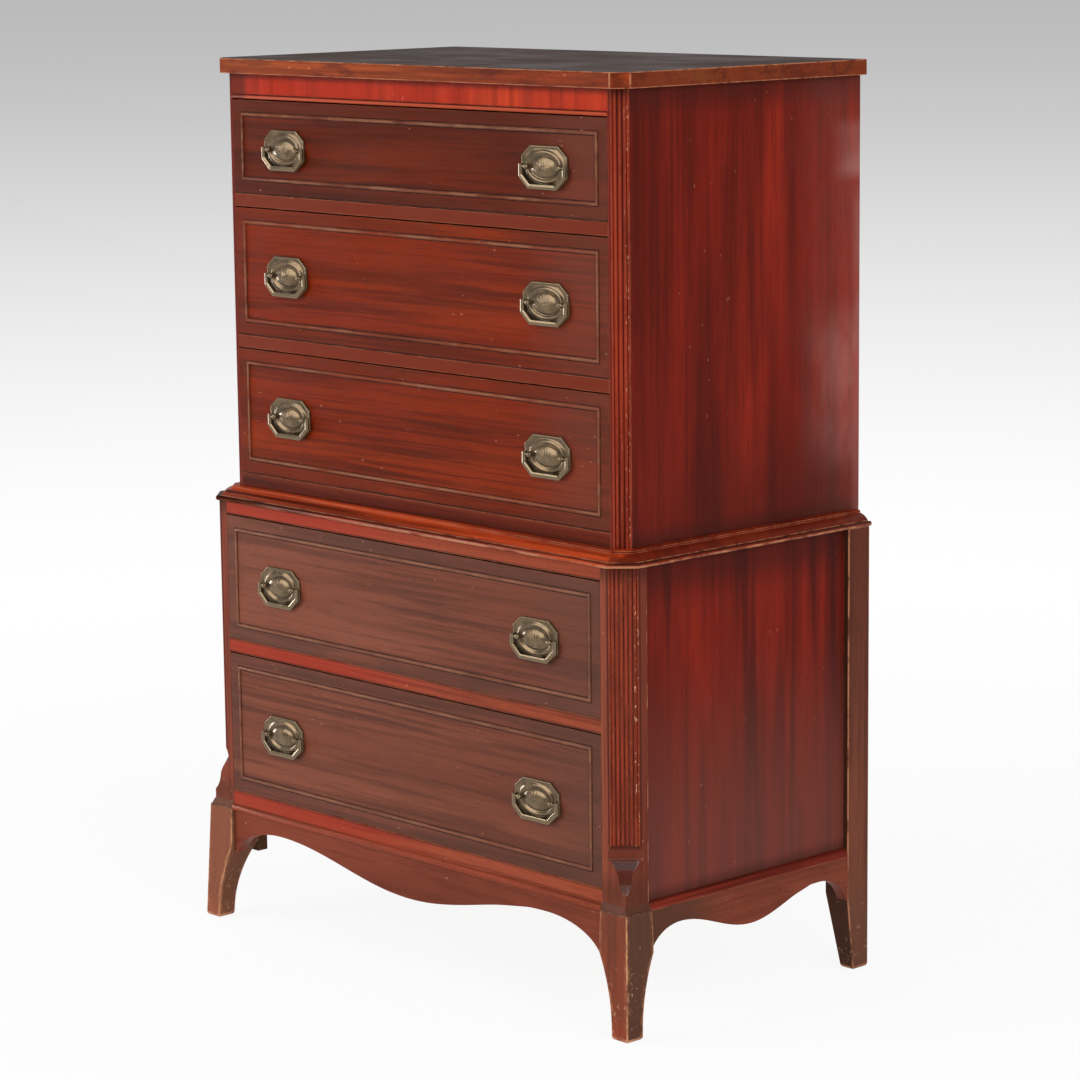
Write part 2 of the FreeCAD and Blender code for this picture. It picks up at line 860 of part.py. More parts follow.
between_lower = ("-low_open", "low_open")
lower_rail_depth = ("low_front", "low_rail_back")
publish(
    "lower_drawer_rails",
    box("lower_top", between_lower, lower_rail_depth, ("ceiling_4", "joint_height")),
    box("lower_middle", between_lower, lower_rail_depth, ("ceiling_5", "floor_4")),
    box("lower_bottom", between_lower, lower_rail_depth, ("ledge_top", "floor_5")),
)
publish(
    "lower_back_panel",
    box(
        "lower_back",
        ("-back_post_inner", "back_post_inner"),
        ("low_back_inner", "low_back"),
        lower_height,
    ),
)

# Runners and dust panels --------------------------------------------------------

runners = []
dust_panels = []
for n in (1, 2, 3, 4, 5):
    upper = n <= 3
    opening = "up_open" if upper else "low_open"
    wall = "up_side_inner" if upper else "low_side_inner"
    rail_back = "low_rail_back" if not upper else "frieze_thickness" if n == 3 else "rail_depth"
    runner_back = "up_back_inner" if upper else "back_post_front"
    dust_back = "up_back_inner" if upper else "low_back_inner"
    floor = "floor_%d" % n
    inner = "%s - runner_width" % opening
    runner = box(
        "runner_%d" % n, (inner, wall), (rail_back, runner_back), (floor + " - runner_thickness", floor)
    )
    runners += [runner, mirrored("runner_%d_mirror" % n, runner)]
    if not upper:
        guide = box(
            "guide_%d" % n, (opening, wall), (rail_back, runner_back), (floor, floor + " + guide_height")
        )
        runners += [guide, mirrored("guide_%d_mirror" % n, guide)]
    if n != 3:
        middle = "%s - runner_thickness / 2" % floor
        dust_panels.append(
            box(
                "dust_panel_%d" % n,
                ("-(%s)" % inner, inner),
                (rail_back, dust_back),
                (middle + " - dust_thickness / 2", middle + " + dust_thickness / 2"),
            )
        )
publish("drawer_runners", *runners)
publish("dust_panels", *dust_panels)

# Base ---------------------------------------------------------------------------

nose_radius = "ledge_height / 2"
nose = cylinder(
    "ledge_nose_round",
    nose_radius,
    "2 * low_open",
    ("-low_open", "low_front - ledge_nose + " + nose_radius, "apron_top + " + nose_radius),
    ALONG_X,
)
strip = box(
    "ledge_strip",
    between_lower,
    ("low_front - ledge_nose + " + nose_radius, "low_front + apron_thickness"),
    ("apron_top", "ledge_top"),
)
publish("base_ledge", fuse("ledge", strip, nose))

front_board = apron(
    size.low_open, size.apron_low, size.apron_arch, size.apron_reach, size.apron_fall
)
front_board.translate(Vector(0, size.low_front, 0))
publish("front_apron", shaped("front_board", front_board))

side_board = apron(
    (size.back_post_front - size.post_back) / 2,
    size.side_low,
    size.side_arch,
    size.side_reach,
    size.side_fall,
)
side_board.rotate(Vector(), Vector(0, 0, 1), 90)
side_board.translate(Vector(size.low_half, (size.back_post_front + size.post_back) / 2, 0))
side_apron = shaped("side_board", side_board)
publish("side_aprons", side_apron, mirrored("side_board_mirror", side_apron))

publish_pair("front_foot", shaped("front_foot_solid", front_foot()))
block = box(
    "corner_block",
    ("low_open", "low_half - apron_thickness"),
    ("post_back", "post_back + block_depth"),
    ("apron_top - block_height", "apron_top"),
)
publish("corner_blocks", block, mirrored("corner_block_mirror", block))

# Pulls, each drawn with its middle at the origin --------------------------------

plate = shaped("pull_plate", pull_plate())
bail_strip = shaped("pull_bail", bail())

shank = cylinder(
    "post_shank",
    "shank_radius",
    "ball_reach + drawer_front + nut_thickness",
    ("post_half_spacing", "-ball_reach", "0"),
    ALONG_Y,
)
collar = cylinder(
    "post_collar",
    "collar_radius",
    "collar_length",
    ("post_half_spacing", "-plate_thickness - collar_length", "0"),
    ALONG_Y,
)
ball = bind(
    doc.addObject("Part::Sphere", "post_ball"),
    Radius="ball_radius",
    Placement__Base__x="post_half_spacing",
    Placement__Base__y="-ball_reach",
)
bore = cylinder(
    "post_bore",
    "bore_radius",
    "bail_half_width",
    ("pin_tip - pin_end_gap", "-ball_reach", "0"),
    ALONG_X,
)
post = cut("pull_post", fuse("post_solid", shank, collar, ball), bore)
nut_blank = doc.addObject("Part::Prism", "nut_blank")
nut_blank.Polygon = 6
nut_blank.Placement = Placement(Vector(), ALONG_Y)
bind(
    nut_blank,
    Circumradius="nut_across",
    Height="nut_thickness",
    Placement__Base__x="post_half_spacing",
    Placement__Base__y="drawer_front",
)
nut = cut("pull_nut", nut_blank, shank)
pull_posts = group(
    "pull_posts", post, nut, mirrored("post_mirror", post), mirrored("nut_mirror", nut)
)

# Drawers ------------------------------------------------------------------------

for n in (1, 2, 3, 4, 5):
    upper = n <= 3
    opening = "up_open" if upper else "low_open"
    front = "0" if upper else "low_front"
    inner_back = "up_back_inner" if upper else "low_back_inner"
    floor, ceiling = "floor_%d" % n, "ceiling_%d" % n
    half = "(%s - drawer_gap)" % opening
    inner_half = "(%s - drawer_side)" % half
    bottom = "%s + drawer_gap" % floor
    front_back = "%s + drawer_front" % front
    back = "%s - drawer_back_room" % inner_back
    tag = "drawer_%d_" % n

    board = box(
        tag + "board", ("-" + half, half), (front, front_back), (bottom, ceiling + " - drawer_top_gap")
    )
    drop = "low_pull_drop" if n == 5 else "pull_drop"
    low, high = value(floor), value(ceiling)
    under_plate = (high - low - size.plate_height) / 2 - value(drop)
    inset = min(size.bead_inset_top, under_plate - size.bead_radius - size.bead_plate_gap)
    bead = bead_ring(
        value(opening) - size.bead_inset_side,
        low + inset,
        high - inset,
        0 if upper else size.low_front,
    )
    beaded = fuse(tag + "beaded", board, shaped(tag + "bead", bead))
    level = "(%s + %s) / 2 - %s" % (floor, ceiling, drop)
    holes = []
    for side in ("-", ""):
        for end in (" - ", " + "):
            centre = side + "pull_x" + end + "post_half_spacing"
            name = "%shole_%d" % (tag, len(holes) + 1)
            start = (centre, front + " - tool_past", level)
            length = "drawer_front + 2 * tool_past"
            holes.append(cylinder(name, "shank_radius + shank_gap", length, start, ALONG_Y))
    publish(tag + "front", cut(tag + "drilled", beaded, group(tag + "holes", *holes)))

    side = box(
        tag + "side",
        (inner_half, half),
        (front_back, back),
        (bottom, ceiling + " - drawer_side_drop - drawer_top_gap"),
    )
    board_under = bottom + " + drawer_bottom_raise"
    board_face = board_under + " + drawer_bottom"
    span = ("-" + inner_half, inner_half)
    rear = box(
        tag + "rear", span, (back + " - drawer_side", back), (board_face, ceiling + " - drawer_back_drop")
    )
    publish(tag + "box", side, mirrored(tag + "side_mirror", side), rear)
    publish(
        tag + "bottom",
        box(tag + "bottom_board", span, (front_back, back), (board_under, board_face)),
    )
    publish(
        tag + "plates",
        placed(tag + "plate_left", plate, "-pull_x", front, level),
        placed(tag + "plate_right", plate, "pull_x", front, level),
    )
    publish(
        tag + "posts",
        placed(tag + "posts_left", pull_posts, "-pull_x", front, level),
        placed(tag + "posts_right", pull_posts, "pull_x", front, level),
    )
    for hand, centre in (("left", "-pull_x"), ("right", "pull_x")):
        publish(
            tag + "bail_" + hand,
            placed(tag + "bail_strip_" + hand, bail_strip, centre, front, level),
        )

# Checks and export --------------------------------------------------------------

doc.recompute()
for obj in doc.Objects:
    if {"Invalid", "Error"} & set(obj.State):
        raise RuntimeError("%s failed: %s" % (obj.Label, obj.State))
for node in nodes:
    if node.Shape.isNull() or not node.Shape.isValid() or not node.Shape.Solids:
        raise RuntimeError("%s has no valid solid" % node.Label)

os.makedirs("parts", exist_ok=True)
for node in nodes:
    node.Shape.exportStep("parts/%s.step" % node.Label)
print("%d sub-parts" % len(nodes))
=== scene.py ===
import bmesh
import bpy
import math
from mathutils import Matrix, Vector


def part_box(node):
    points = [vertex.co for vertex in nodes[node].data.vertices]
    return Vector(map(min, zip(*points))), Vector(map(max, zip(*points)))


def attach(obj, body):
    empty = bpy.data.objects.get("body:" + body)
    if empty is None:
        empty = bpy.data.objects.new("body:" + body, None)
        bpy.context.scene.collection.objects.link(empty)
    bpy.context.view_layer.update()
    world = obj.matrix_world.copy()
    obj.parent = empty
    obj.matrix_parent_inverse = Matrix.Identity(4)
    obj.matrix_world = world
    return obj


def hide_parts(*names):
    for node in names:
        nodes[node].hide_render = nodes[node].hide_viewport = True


# A chest on chest. The case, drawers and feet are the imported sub-parts with wood
# materials and rubbed arrises; the pulls are cast pieces of their own.

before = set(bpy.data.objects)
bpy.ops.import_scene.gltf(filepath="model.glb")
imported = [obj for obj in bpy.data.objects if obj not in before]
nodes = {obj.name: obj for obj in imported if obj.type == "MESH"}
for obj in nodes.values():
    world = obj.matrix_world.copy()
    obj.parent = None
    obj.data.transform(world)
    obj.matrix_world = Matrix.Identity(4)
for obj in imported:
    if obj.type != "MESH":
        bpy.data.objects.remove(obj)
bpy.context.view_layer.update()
scene = bpy.context.scene
MM = 0.001
X, Y, Z = range(3)
UPPER, LOWER = (1, 2, 3), (4, 5)
DRAWERS = UPPER + LOWER
HANDS = ("left", "right")


def srgb(red, green, blue):
    """A colour as it reads on a screen, 0 to 255, as linear RGBA."""
    linear = []
    for channel in (red, green, blue):
        share = channel / 255
        linear.append(share / 12.92 if share <= 0.04045 else ((share + 0.055) / 1.055) ** 2.4)
    return (*linear, 1.0)


def tones(base, dark, light):
    """The colours of a wood's ground, of its streaks and of its pale figure."""
    return dict(base=srgb(*base), dark=srgb(*dark), light=srgb(*light))


PAINTED_GAP_SHADE = srgb(40, 17, 12)  # painted shade in the gaps and grooves between pieces
SHADE = srgb(58, 24, 18)  # painted shade along an edge, under an overhang or in a corner
PORE = srgb(34, 14, 10)
STAIN = srgb(92, 62, 42)  # on bare wood
BRUISED = srgb(206, 146, 112)  # bare wood in a nick
GREY = srgb(186, 186, 186)  # the backdrop, and the floor far away
LOOKS = {  # how lacquered wood looks, where a wood doesn't say otherwise
    "streaks": 0.55,  # depth of the long dark streaks
    "lines": 0.6,  # depth of the thin dark lines
    "ribbons": 0.0,  # depth of the broad straight bands
    "clouds": 0.0,  # depth of the soft dark clouds
    "swaying": 0.012,  # how far the grain wanders
    "wear": 0.7,  # how far the arrises are rubbed
    "rubbed": srgb(168, 104, 74),  # lacquer rubbed through to the wood
    "patches": 0.5,  # lower rubs the arrises in longer stretches
    "wear_radius": 2.0 * MM,  # how far the rubbing reaches from an arris
    "wear_below": None,  # the height over which no arris is rubbed
    "battered": 0.0,  # how far the edges near the floor are chipped
    "nicks": 0.6,  # how far the nicks and scratches show
    "gloss": 0.34,  # the roughness of the lacquer
    "shine": 0.05,  # how much of the light it mirrors
    "polish": None,  # the mask of the parts that shine more
}

# Shader building blocks ---------------------------------------------------------


def add_node(tree, kind, inputs, output=0, **settings):
    """Adds a node. An input is a number, a colour, a vector or another node's output."""
    made = tree.nodes.new(kind)
    for key, item in settings.items():
        setattr(made, key, item)
    for key, item in inputs.items():
        if isinstance(item, bpy.types.NodeSocket):
            tree.links.new(item, made.inputs[key])
        else:
            made.inputs[key].default_value = item
    return made.outputs[output] if made.outputs else None


class Shader:
    """One material, and the nodes it is made from."""

    def __init__(self, name):
        self.material = bpy.data.materials.new(name)
        self.material.use_nodes = True
        self.tree = self.material.node_tree
        self.tree.nodes.clear()

    def node(self, kind, inputs, output=0, **settings):
        return add_node(self.tree, kind, inputs, output, **settings)

    def position(self):
        return self.node("ShaderNodeTexCoord", {}, "Object")

    def normal(self):
        return self.node("ShaderNodeNewGeometry", {}, "Normal")

    def split(self, vector):
        parts = self.tree.nodes.new("ShaderNodeSeparateXYZ")
        self.tree.links.new(vector, parts.inputs[0])
        return list(parts.outputs)

    def join(self, x, y, z):
        return self.node("ShaderNodeCombineXYZ", {0: x, 1: y, 2: z})

    def vector(self, operation, first, second):
        return self.node("ShaderNodeVectorMath", {0: first, 1: second}, operation=operation)

    def dot(self, first, second):
        return self.node(
            "ShaderNodeVectorMath", {0: first, 1: second}, "Value", operation="DOT_PRODUCT"
        )

    def math(self, operation, first, second=0.0, clamp=False):
        return self.node(
            "ShaderNodeMath", {0: first, 1: second}, operation=operation, use_clamp=clamp
        )

    def times(self, *factors):
        product = factors[0]
        for factor in factors[1:]:
            product = self.math("MULTIPLY", product, factor)
        return product

    def both(self, first, second):
        """The stronger of two masks."""
        return self.math("MAXIMUM", first, second)

    def fade(self, value, start, end, low=0.0, high=1.0):
        """Runs smoothly from low to high as the value runs from start to end."""
        inputs = {0: value, 1: start, 2: end, 3: low, 4: high}
        if start > end:
            inputs = {0: value, 1: end, 2: start, 3: high, 4: low}
        return self.node("ShaderNodeMapRange", inputs, interpolation_type="SMOOTHSTEP")

    def band(self, value, low, high, soft):
        """1 between low and high, fading out over a soft edge."""
        rise = self.fade(value, low - soft, low)
        return self.times(rise, self.fade(value, high, high + soft, 1.0, 0.0))

    def noise(self, vector, stretch, detail=2.0, roughness=0.5):
        scaled = self.vector("MULTIPLY", vector, stretch)
        inputs = {"Vector": scaled, "Scale": 1.0, "Detail": detail, "Roughness": roughness}
        return self.node("ShaderNodeTexNoise", inputs)

    def spots(self, vector, stretch, radius):
        """Small separate spots, 1 in the middle of each."""
        scaled = self.vector("MULTIPLY", vector, stretch)
        distance = self.node("ShaderNodeTexVoronoi", {"Vector": scaled, "Scale": 1.0}, "Distance")
        return self.fade(distance, radius, 0.4 * radius)

    def mix(self, factor, first, second):
        return self.node("ShaderNodeMix", {0: factor, 6: first, 7: second}, 2, data_type="RGBA")

    def arris(self, radius):
        """1 along the edges of the shape and 0 on its faces."""
        rounded = self.node("ShaderNodeBevel", {"Radius": radius}, samples=6)
        return self.fade(self.dot(rounded, self.normal()), 0.995, 0.86)

    def finish(self, height, distance, **inputs):
        """Joins the named Principled inputs and a bump height, and returns the material."""
        relief = {"Strength": 0.6, "Distance": distance, "Height": height}
        bump = self.node("ShaderNodeBump", relief)
        sockets = {name.replace("_", " "): item for name, item in inputs.items()}
        surface = self.node("ShaderNodeBsdfPrincipled", {**sockets, "Normal": bump})
        self.node("ShaderNodeOutputMaterial", {"Surface": surface})
        return self.material


def wood(name, along, base, dark, light, seed, marks=(), **looks):
    """Lacquered wood with its grain along one axis, and the same wood on rubbed arrises.

    base, dark and light are its tones.
    marks are functions of the shader that return a mask and the colour it brings in.
    looks are the values that take the place of those in LOOKS.
    """
    looks = {**LOOKS, **looks}
    return [
        lacquered(name, along, base, dark, light, seed, marks, looks, False),
        lacquered(name + "_arris", along, base, dark, light, seed, marks, looks, True),
    ]


def on_grain(s, along, shift):
    """The position as x, y, z, and the same position turned so that the grain runs along x."""
    x, y, z = s.split(s.position())
    order = {"X": (x, y, z), "Y": (y, x, z), "Z": (z, x, y)}[along]
    return (x, y, z), s.vector("ADD", s.join(*order), shift)


def figure(s, straight, base, dark, light, looks):
    """The colour of the wood's figure, and the masks of its fine grain and of its pores."""
    sway = s.math("SUBTRACT", s.noise(straight, (1.6, 6, 6), 1.0), 0.5)
    shift = s.times(sway, looks["swaying"])
    grain = s.vector("ADD", straight, s.join(0.0, shift, shift))
    colour = s.mix(s.fade(s.noise(grain, (0.9, 9, 9), 2.0), 0.4, 0.68), base, light)
    if looks["ribbons"]:
        band = s.noise(grain, (1.8, 40, 40), 1.0)
        colour = s.mix(s.times(s.fade(band, 0.5, 0.66), looks["ribbons"]), colour, dark)
        colour = s.mix(s.times(s.fade(band, 0.46, 0.34), looks["ribbons"]), colour, light)
    smoky = s.fade(s.noise(grain, (1.8, 46, 46), 3.0, 0.55), 0.48, 0.66)
    colour = s.mix(s.times(smoky, looks["streaks"]), colour, dark)
    thin = s.fade(s.noise(grain, (2.6, 125, 125), 3.0, 0.6), 0.47, 0.62)
    where = s.fade(s.noise(grain, (1.3, 7, 7), 1.0), 0.35, 0.62, 0.35, 1.0)
    colour = s.mix(s.times(thin, where, looks["lines"]), colour, dark)
    fine = s.noise(grain, (14, 520, 520), 3.0, 0.6)
    colour = s.mix(s.fade(fine, 0.5, 0.75, 0.0, 0.45), colour, dark)
    pore = s.fade(s.noise(grain, (90, 1700, 1700), 1.0), 0.62, 0.72)
    colour = s.mix(s.times(pore, 0.5), colour, PORE)
    if looks["clouds"]:
        cloud = s.fade(s.noise(straight, (3, 9, 9), 3.0, 0.6), 0.42, 0.62)
        colour = s.mix(s.times(cloud, looks["clouds"]), colour, dark)
    return colour, fine, pore


def rubbing(s, place, straight, looks, on_arris):
    """Where the lacquer is rubbed through to the wood."""
    patchy = s.noise(straight, (26, 60, 60), 3.0, 0.65)
    if on_arris:
        edge = s.times(s.fade(patchy, 0.36, 0.56, 0.15, 1.0), looks["wear"])
    else:
        stretches = s.fade(patchy, looks["patches"], looks["patches"] + 0.18)
        edge = s.times(s.arris(looks["wear_radius"]), stretches, looks["wear"])
    if looks["battered"]:
        chips = s.fade(s.noise(straight, (60, 110, 110), 4.0, 0.65), 0.48, 0.55)
        low_down = s.fade(place[Z], 0.15, 0.06, 0.45, 1.0)
        edge = s.both(edge, s.times(s.arris(12 * MM), chips, low_down, looks["battered"]))
    if looks["wear_below"]:
        top = looks["wear_below"]
        edge = s.times(edge, s.fade(place[Z], top + 8 * MM, top))
    return edge


def flaws(s, straight, strength):
    """The masks of the nicks and of the scratches."""
    sparse = s.fade(s.noise(straight, (7, 7, 7), 1.0), 0.46, 0.6)
    ragged = s.fade(s.noise(straight, (700, 1100, 1100), 1.0), 0.36, 0.5)
    nick = s.times(s.spots(straight, (30, 62, 62), 0.1), sparse, ragged, strength)
    here = s.fade(s.noise(straight, (4, 4, 4), 1.0), 0.5, 0.6)
    return nick, s.times(s.spots(straight, (9, 310, 310), 0.09), here, strength, 0.5)


def lacquered(name, along, base, dark, light, seed, marks, looks, on_arris):
    s = Shader(name)
    place, straight = on_grain(s, along, (seed * 1.37, seed * 0.71, seed * 0.43))
    colour, fine, pore = figure(s, straight, base, dark, light, looks)
    for mark in marks:
        mask, brought = mark(s, place)
        colour = s.mix(mask, colour, brought)
    edge = rubbing(s, place, straight, looks, on_arris)
    nick, scratch = flaws(s, straight, looks["nicks"])
    colour = s.mix(edge, colour, looks["rubbed"])
    colour = s.mix(nick, colour, BRUISED)
    colour = s.mix(scratch, colour, light)

    smear = s.noise(straight, (6, 11, 11), 3.0, 0.6)
    rough = s.fade(smear, 0.3, 0.7, looks["gloss"] - 0.06, looks["gloss"] + 0.1)
    rough = s.math("ADD", rough, s.times(s.both(edge, nick), 0.2), clamp=True)
    shine = looks["shine"]
    if looks["polish"]:
        polished = looks["polish"](s, place)
        rough = s.math("SUBTRACT", rough, s.times(polished, 0.2), clamp=True)
        shine = s.math("ADD", s.times(polished, 0.6), shine)
    height = s.math("SUBTRACT", s.times(fine, 0.5), s.times(pore, 0.7))
    height = s.math("SUBTRACT", height, s.times(s.both(nick, scratch), 1.6))
    height = s.math("SUBTRACT", height, s.times(edge, s.noise(straight, (260, 260, 260)), 0.9))
    surface = dict(Base_Color=colour, Roughness=rough, Specular_IOR_Level=shine)
    return s.finish(height, 0.12 * MM, **surface)


def bare_wood(name, along, base, dark, light, seed, stain=0.35):
    """Unfinished secondary wood, dusty and stained, with its grain along one axis."""
    s = Shader(name)
    straight = on_grain(s, along, (seed * 0.83, seed * 0.57, seed * 0.31))[1]
    sway = s.times(s.math("SUBTRACT", s.noise(straight, (2, 7, 7), 1.0), 0.5), 0.05)
    grain = s.vector("ADD", straight, s.join(0.0, sway, sway))
    rings = s.noise(grain, (1.2, 55, 55), 3.0, 0.55)
    colour = s.mix(s.fade(rings, 0.4, 0.7), base, dark)
    colour = s.mix(s.fade(s.noise(grain, (0.7, 6, 6), 2.0), 0.4, 0.7), colour, light)
    fine = s.noise(grain, (20, 600, 600), 2.0)
    colour = s.mix(s.fade(fine, 0.5, 0.8, 0.0, 0.4), colour, dark)
    blotch = s.fade(s.noise(straight, (5, 8, 8), 4.0, 0.6), 0.52, 0.72)
    colour = s.mix(s.times(blotch, stain), colour, STAIN)
    edge = s.times(s.arris(1.5 * MM), s.fade(s.noise(straight, (40, 40, 40)), 0.4, 0.6))
    colour = s.mix(s.times(edge, 0.4), colour, light)
    rough = s.fade(s.noise(straight, (15, 30, 30), 2.0), 0.3, 0.7, 0.68, 0.86)
    height = s.math("ADD", s.times(fine, 0.6), s.times(rings, 0.5))
    surface = dict(Base_Color=colour, Roughness=rough, Specular_IOR_Level=0.2)
    return [s.finish(height, 0.15 * MM, **surface)]


def brass(name, seed, relief):
    """Antique brass: brown in the hollows and bright where hands have rubbed it."""
    s = Shader(name)
    place = s.vector("ADD", s.position(), (seed, seed * 0.3, seed * 0.7))
    cloud = s.noise(place, (70, 70, 70), 4.0, 0.6)
    colour = s.mix(s.fade(cloud, 0.35, 0.65), srgb(94, 78, 57), srgb(118, 97, 71))
    if relief:
        high = s.node("ShaderNodeAttribute", {}, "Fac", attribute_name="relief")
    else:
        high = s.fade(s.noise(place, (120, 120, 120)), 0.3, 0.6, 0.5, 1.0)
    hollow = s.times(s.fade(high, 0.4, 0.05), s.fade(cloud, 0.25, 0.6, 0.5, 0.9))
    colour = s.mix(hollow, colour, srgb(80, 61, 42))
    rub = s.times(s.fade(high, 0.6, 0.95), s.fade(cloud, 0.7, 0.4))
    edge = s.times(s.arris(0.7 * MM), s.fade(cloud, 0.3, 0.55, 0.35, 1.0))
    bright = s.both(rub, edge)
    colour = s.mix(s.times(bright, 0.35), colour, srgb(166, 152, 122))
    pits = s.spots(place, (420, 420, 420), 0.22)
    colour = s.mix(s.times(pits, 0.35), colour, srgb(56, 44, 32))
    rough = s.math("ADD", s.fade(cloud, 0.3, 0.7, 0.15, 0.26), s.times(hollow, 0.2))
    rough = s.math("SUBTRACT", rough, s.times(bright, 0.08), clamp=True)
    metal = s.math("SUBTRACT", 0.72, s.times(hollow, 0.4))
    height = s.math("SUBTRACT", s.times(s.noise(place, (600, 600, 600)), 0.4), pits)
    return [s.finish(height, 0.05 * MM, Base_Color=colour, Roughness=rough, Metallic=metal)]


# Where things are, in metres ----------------------------------------------------

box = {name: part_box(name) for name in nodes}
top_low = box["top_board"][0].z
frieze_low = box["frieze_rail"][0].z
moulding_low, moulding_high = (corner.z for corner in box["waist_moulding"])
side_edge, side_back = box["upper_side_panels"][1].xy
lower_side_low = box["lower_side_panels"][0].z
apron_front = box["side_aprons"][0].y
post_back = box["lower_corner_post_right"][1].y

REED_END = 0.27  # the height at which the reeds of the lower posts stop
COLLAR_LOW, COLLAR_HIGH = 0.172, 0.2  # the collar of a front foot

# Marks: each gives a mask and the colour it brings in ----------------------------


def toward(axis, start, end, colour, strength):
    """A colour that comes in along an axis: none of it at start, and all of it from end on."""

    def mark(s, place):
        return s.times(s.fade(place[axis], start, end), strength), colour

    return mark


def under(edge, depth, strength, colour=SHADE):
    """Darkened towards a horizontal edge from below: painted shade, unless another colour is
    given.
    """
    return toward(Z, edge - depth, edge - 0.15 * depth, colour, strength)


def over(edge, depth, strength, colour=SHADE):
    """Darkened towards a horizontal edge from above: painted shade, unless another colour is
    given.
    """
    return toward(Z, edge + depth, edge + 0.1 * depth, colour, strength)


def level_band(low, high, soft, colour, strength):
    """A colour between two heights."""

    def mark(s, place):
        return s.times(s.band(place[Z], low, high, soft), strength), colour

    return mark


BEAD_PROUD = 2 * MM  # how far the bead stands before the drawer's face
BEAD_FROM_SIDE, BEAD_FROM_RAIL = 21.5 * MM, 23 * MM  # from the edges of the opening
GAP, TOP_GAP = 0.8 * MM, 2 * MM  # round a drawer, and over it


def beads_on(n, border, strength):
    """The worked bead of a drawer front: rubbed along its crown, with painted shade in its quirks.

    The border outside it takes a colour of its own.
    """
    low, high = box["drawer_%d_front" % n]
    face = low.y + BEAD_PROUD
    half = high.x + GAP - BEAD_FROM_SIDE
    bottom, top = low.z - GAP + BEAD_FROM_RAIL, high.z + TOP_GAP - BEAD_FROM_RAIL

    def crown(s, place):
        patch = s.noise(s.vector("ADD", s.position(), (n, n, n)), (16, 16, 40), 3.0, 0.6)
        share = s.fade(patch, 0.36, 0.66, 0.2, 0.95)
        high_part = s.fade(place[Y], face - 0.4 * MM, face - 1.5 * MM)
        return s.times(high_part, share), srgb(134, 88, 64)

    def reach(s, place):
        """How far a point is outside the line of the bead."""
        across = s.math("SUBTRACT", s.math("ABSOLUTE", place[X]), half)
        middle = (bottom + top) / 2
        rise = s.math("ABSOLUTE", s.math("SUBTRACT", place[Z], middle))
        return s.both(across, s.math("SUBTRACT", rise, (top - bottom) / 2))

    def outside(s, place):
        cloud = s.noise(s.position(), (9, 30, 30), 3.0, 0.6)
        cloud = s.fade(cloud, 0.3, 0.65, 0.3, 1.0)
        return s.times(s.fade(reach(s, place), 2 * MM, 5 * MM), cloud, strength), border

    # painted shade in the quirks beside the bead
    def quirk_shade(s, place):
        line = s.band(s.math("ABSOLUTE", reach(s, place)), 2.0 * MM, 3.4 * MM, 1.2 * MM)
        flat = s.fade(place[Y], face - 0.7 * MM, face - 0.2 * MM)
        return s.times(line, flat, 0.85), srgb(30, 12, 9)

    return [outside, quirk_shade, crown]


def reeds(post, cant, foot):
    """Reeds on a corner post's cant, down to a height: a painted highlight on their crowns,
    painted shade between them.
    """
    low, high = box[post]
    middle_x, middle_y = high.x - cant / 2, low.y + cant / 2

    def from_middle(operation, s, place):
        """How far a point is from the middle of the cant, out of it or along it."""
        side = s.math("SUBTRACT", s.math("ABSOLUTE", place[X]), middle_x)
        ahead = s.math("SUBTRACT", place[Y], middle_y)
        return s.times(s.math(operation, side, ahead), math.sqrt(0.5))

    def depth(s, place):
        return from_middle("SUBTRACT", s, place)

    def on_cant(s, place):
        forward = s.dot(s.normal(), (0.0, -0.7071, 0.0))
        return s.times(
            s.fade(depth(s, place), -3.4 * MM, -2.6 * MM),
            s.fade(depth(s, place), 1.2 * MM, 0.4 * MM),
            s.fade(place[Z], foot - 2 * MM, foot + 2 * MM),
            s.fade(forward, -0.9, -0.6),
        )

    # painted shade in the valleys between the reeds
    def valley_shade(s, place):
        low_part = s.fade(depth(s, place), -0.75 * MM, -1.7 * MM)
        return s.times(on_cant(s, place), low_part, 0.75), srgb(60, 16, 11)

    # a painted highlight, in patches, on the crests of the reeds
    def crown(s, place):
        cloud = s.noise(s.position(), (60, 60, 14), 3.0, 0.6)
        crest = s.fade(depth(s, place), -0.7 * MM, -0.1 * MM)
        share = s.fade(cloud, 0.35, 0.65, 0.1, 0.6)
        return s.times(on_cant(s, place), crest, share), srgb(160, 62, 39)

    def nicked(s, place):
        outer = s.fade(from_middle("ADD", s, place), 0.32 * cant, 0.48 * cant, 0.12, 1.0)
        chips = s.fade(s.noise(s.position(), (330, 330, 110), 2.0, 0.6), 0.6, 0.68)
        crest = s.fade(depth(s, place), -0.5 * MM, -0.1 * MM)
        return s.times(on_cant(s, place), crest, chips, outer), srgb(206, 150, 116)

    return [valley_shade, crown, nicked]


def facing(way, colour, strength):
    """A colour on the faces that look one way."""

    def mark(s, place):
        return s.times(s.fade(s.dot(s.normal(), way), 0.5, 0.8), strength), colour

    return mark


def sideways(colour, strength):
    """A colour on the faces that look out to either side."""

    def mark(s, place):
        out = s.math("ABSOLUTE", s.dot(s.normal(), (1, 0, 0)))
        return s.times(s.fade(out, 0.8, 0.95), strength), colour

    return mark


def slanting(s):
    """1 on the faces that look neither ahead nor to the side."""
    side = s.math("ABSOLUTE", s.dot(s.normal(), (1, 0, 0)))
    ahead = s.math("ABSOLUTE", s.dot(s.normal(), (0, 1, 0)))
    return s.fade(s.times(side, ahead), 0.08, 0.2)


def canted(colour, strength):
    """A colour on the slanting faces."""

    def mark(s, place):
        return s.times(slanting(s), strength), colour

    return mark


def slant_band(low, high, soft, colour, strength):
    """A colour between two heights on the slanting faces of a corner post."""

    def mark(s, place):
        return s.times(slanting(s), s.band(place[Z], low, high, soft), strength), colour

    return mark


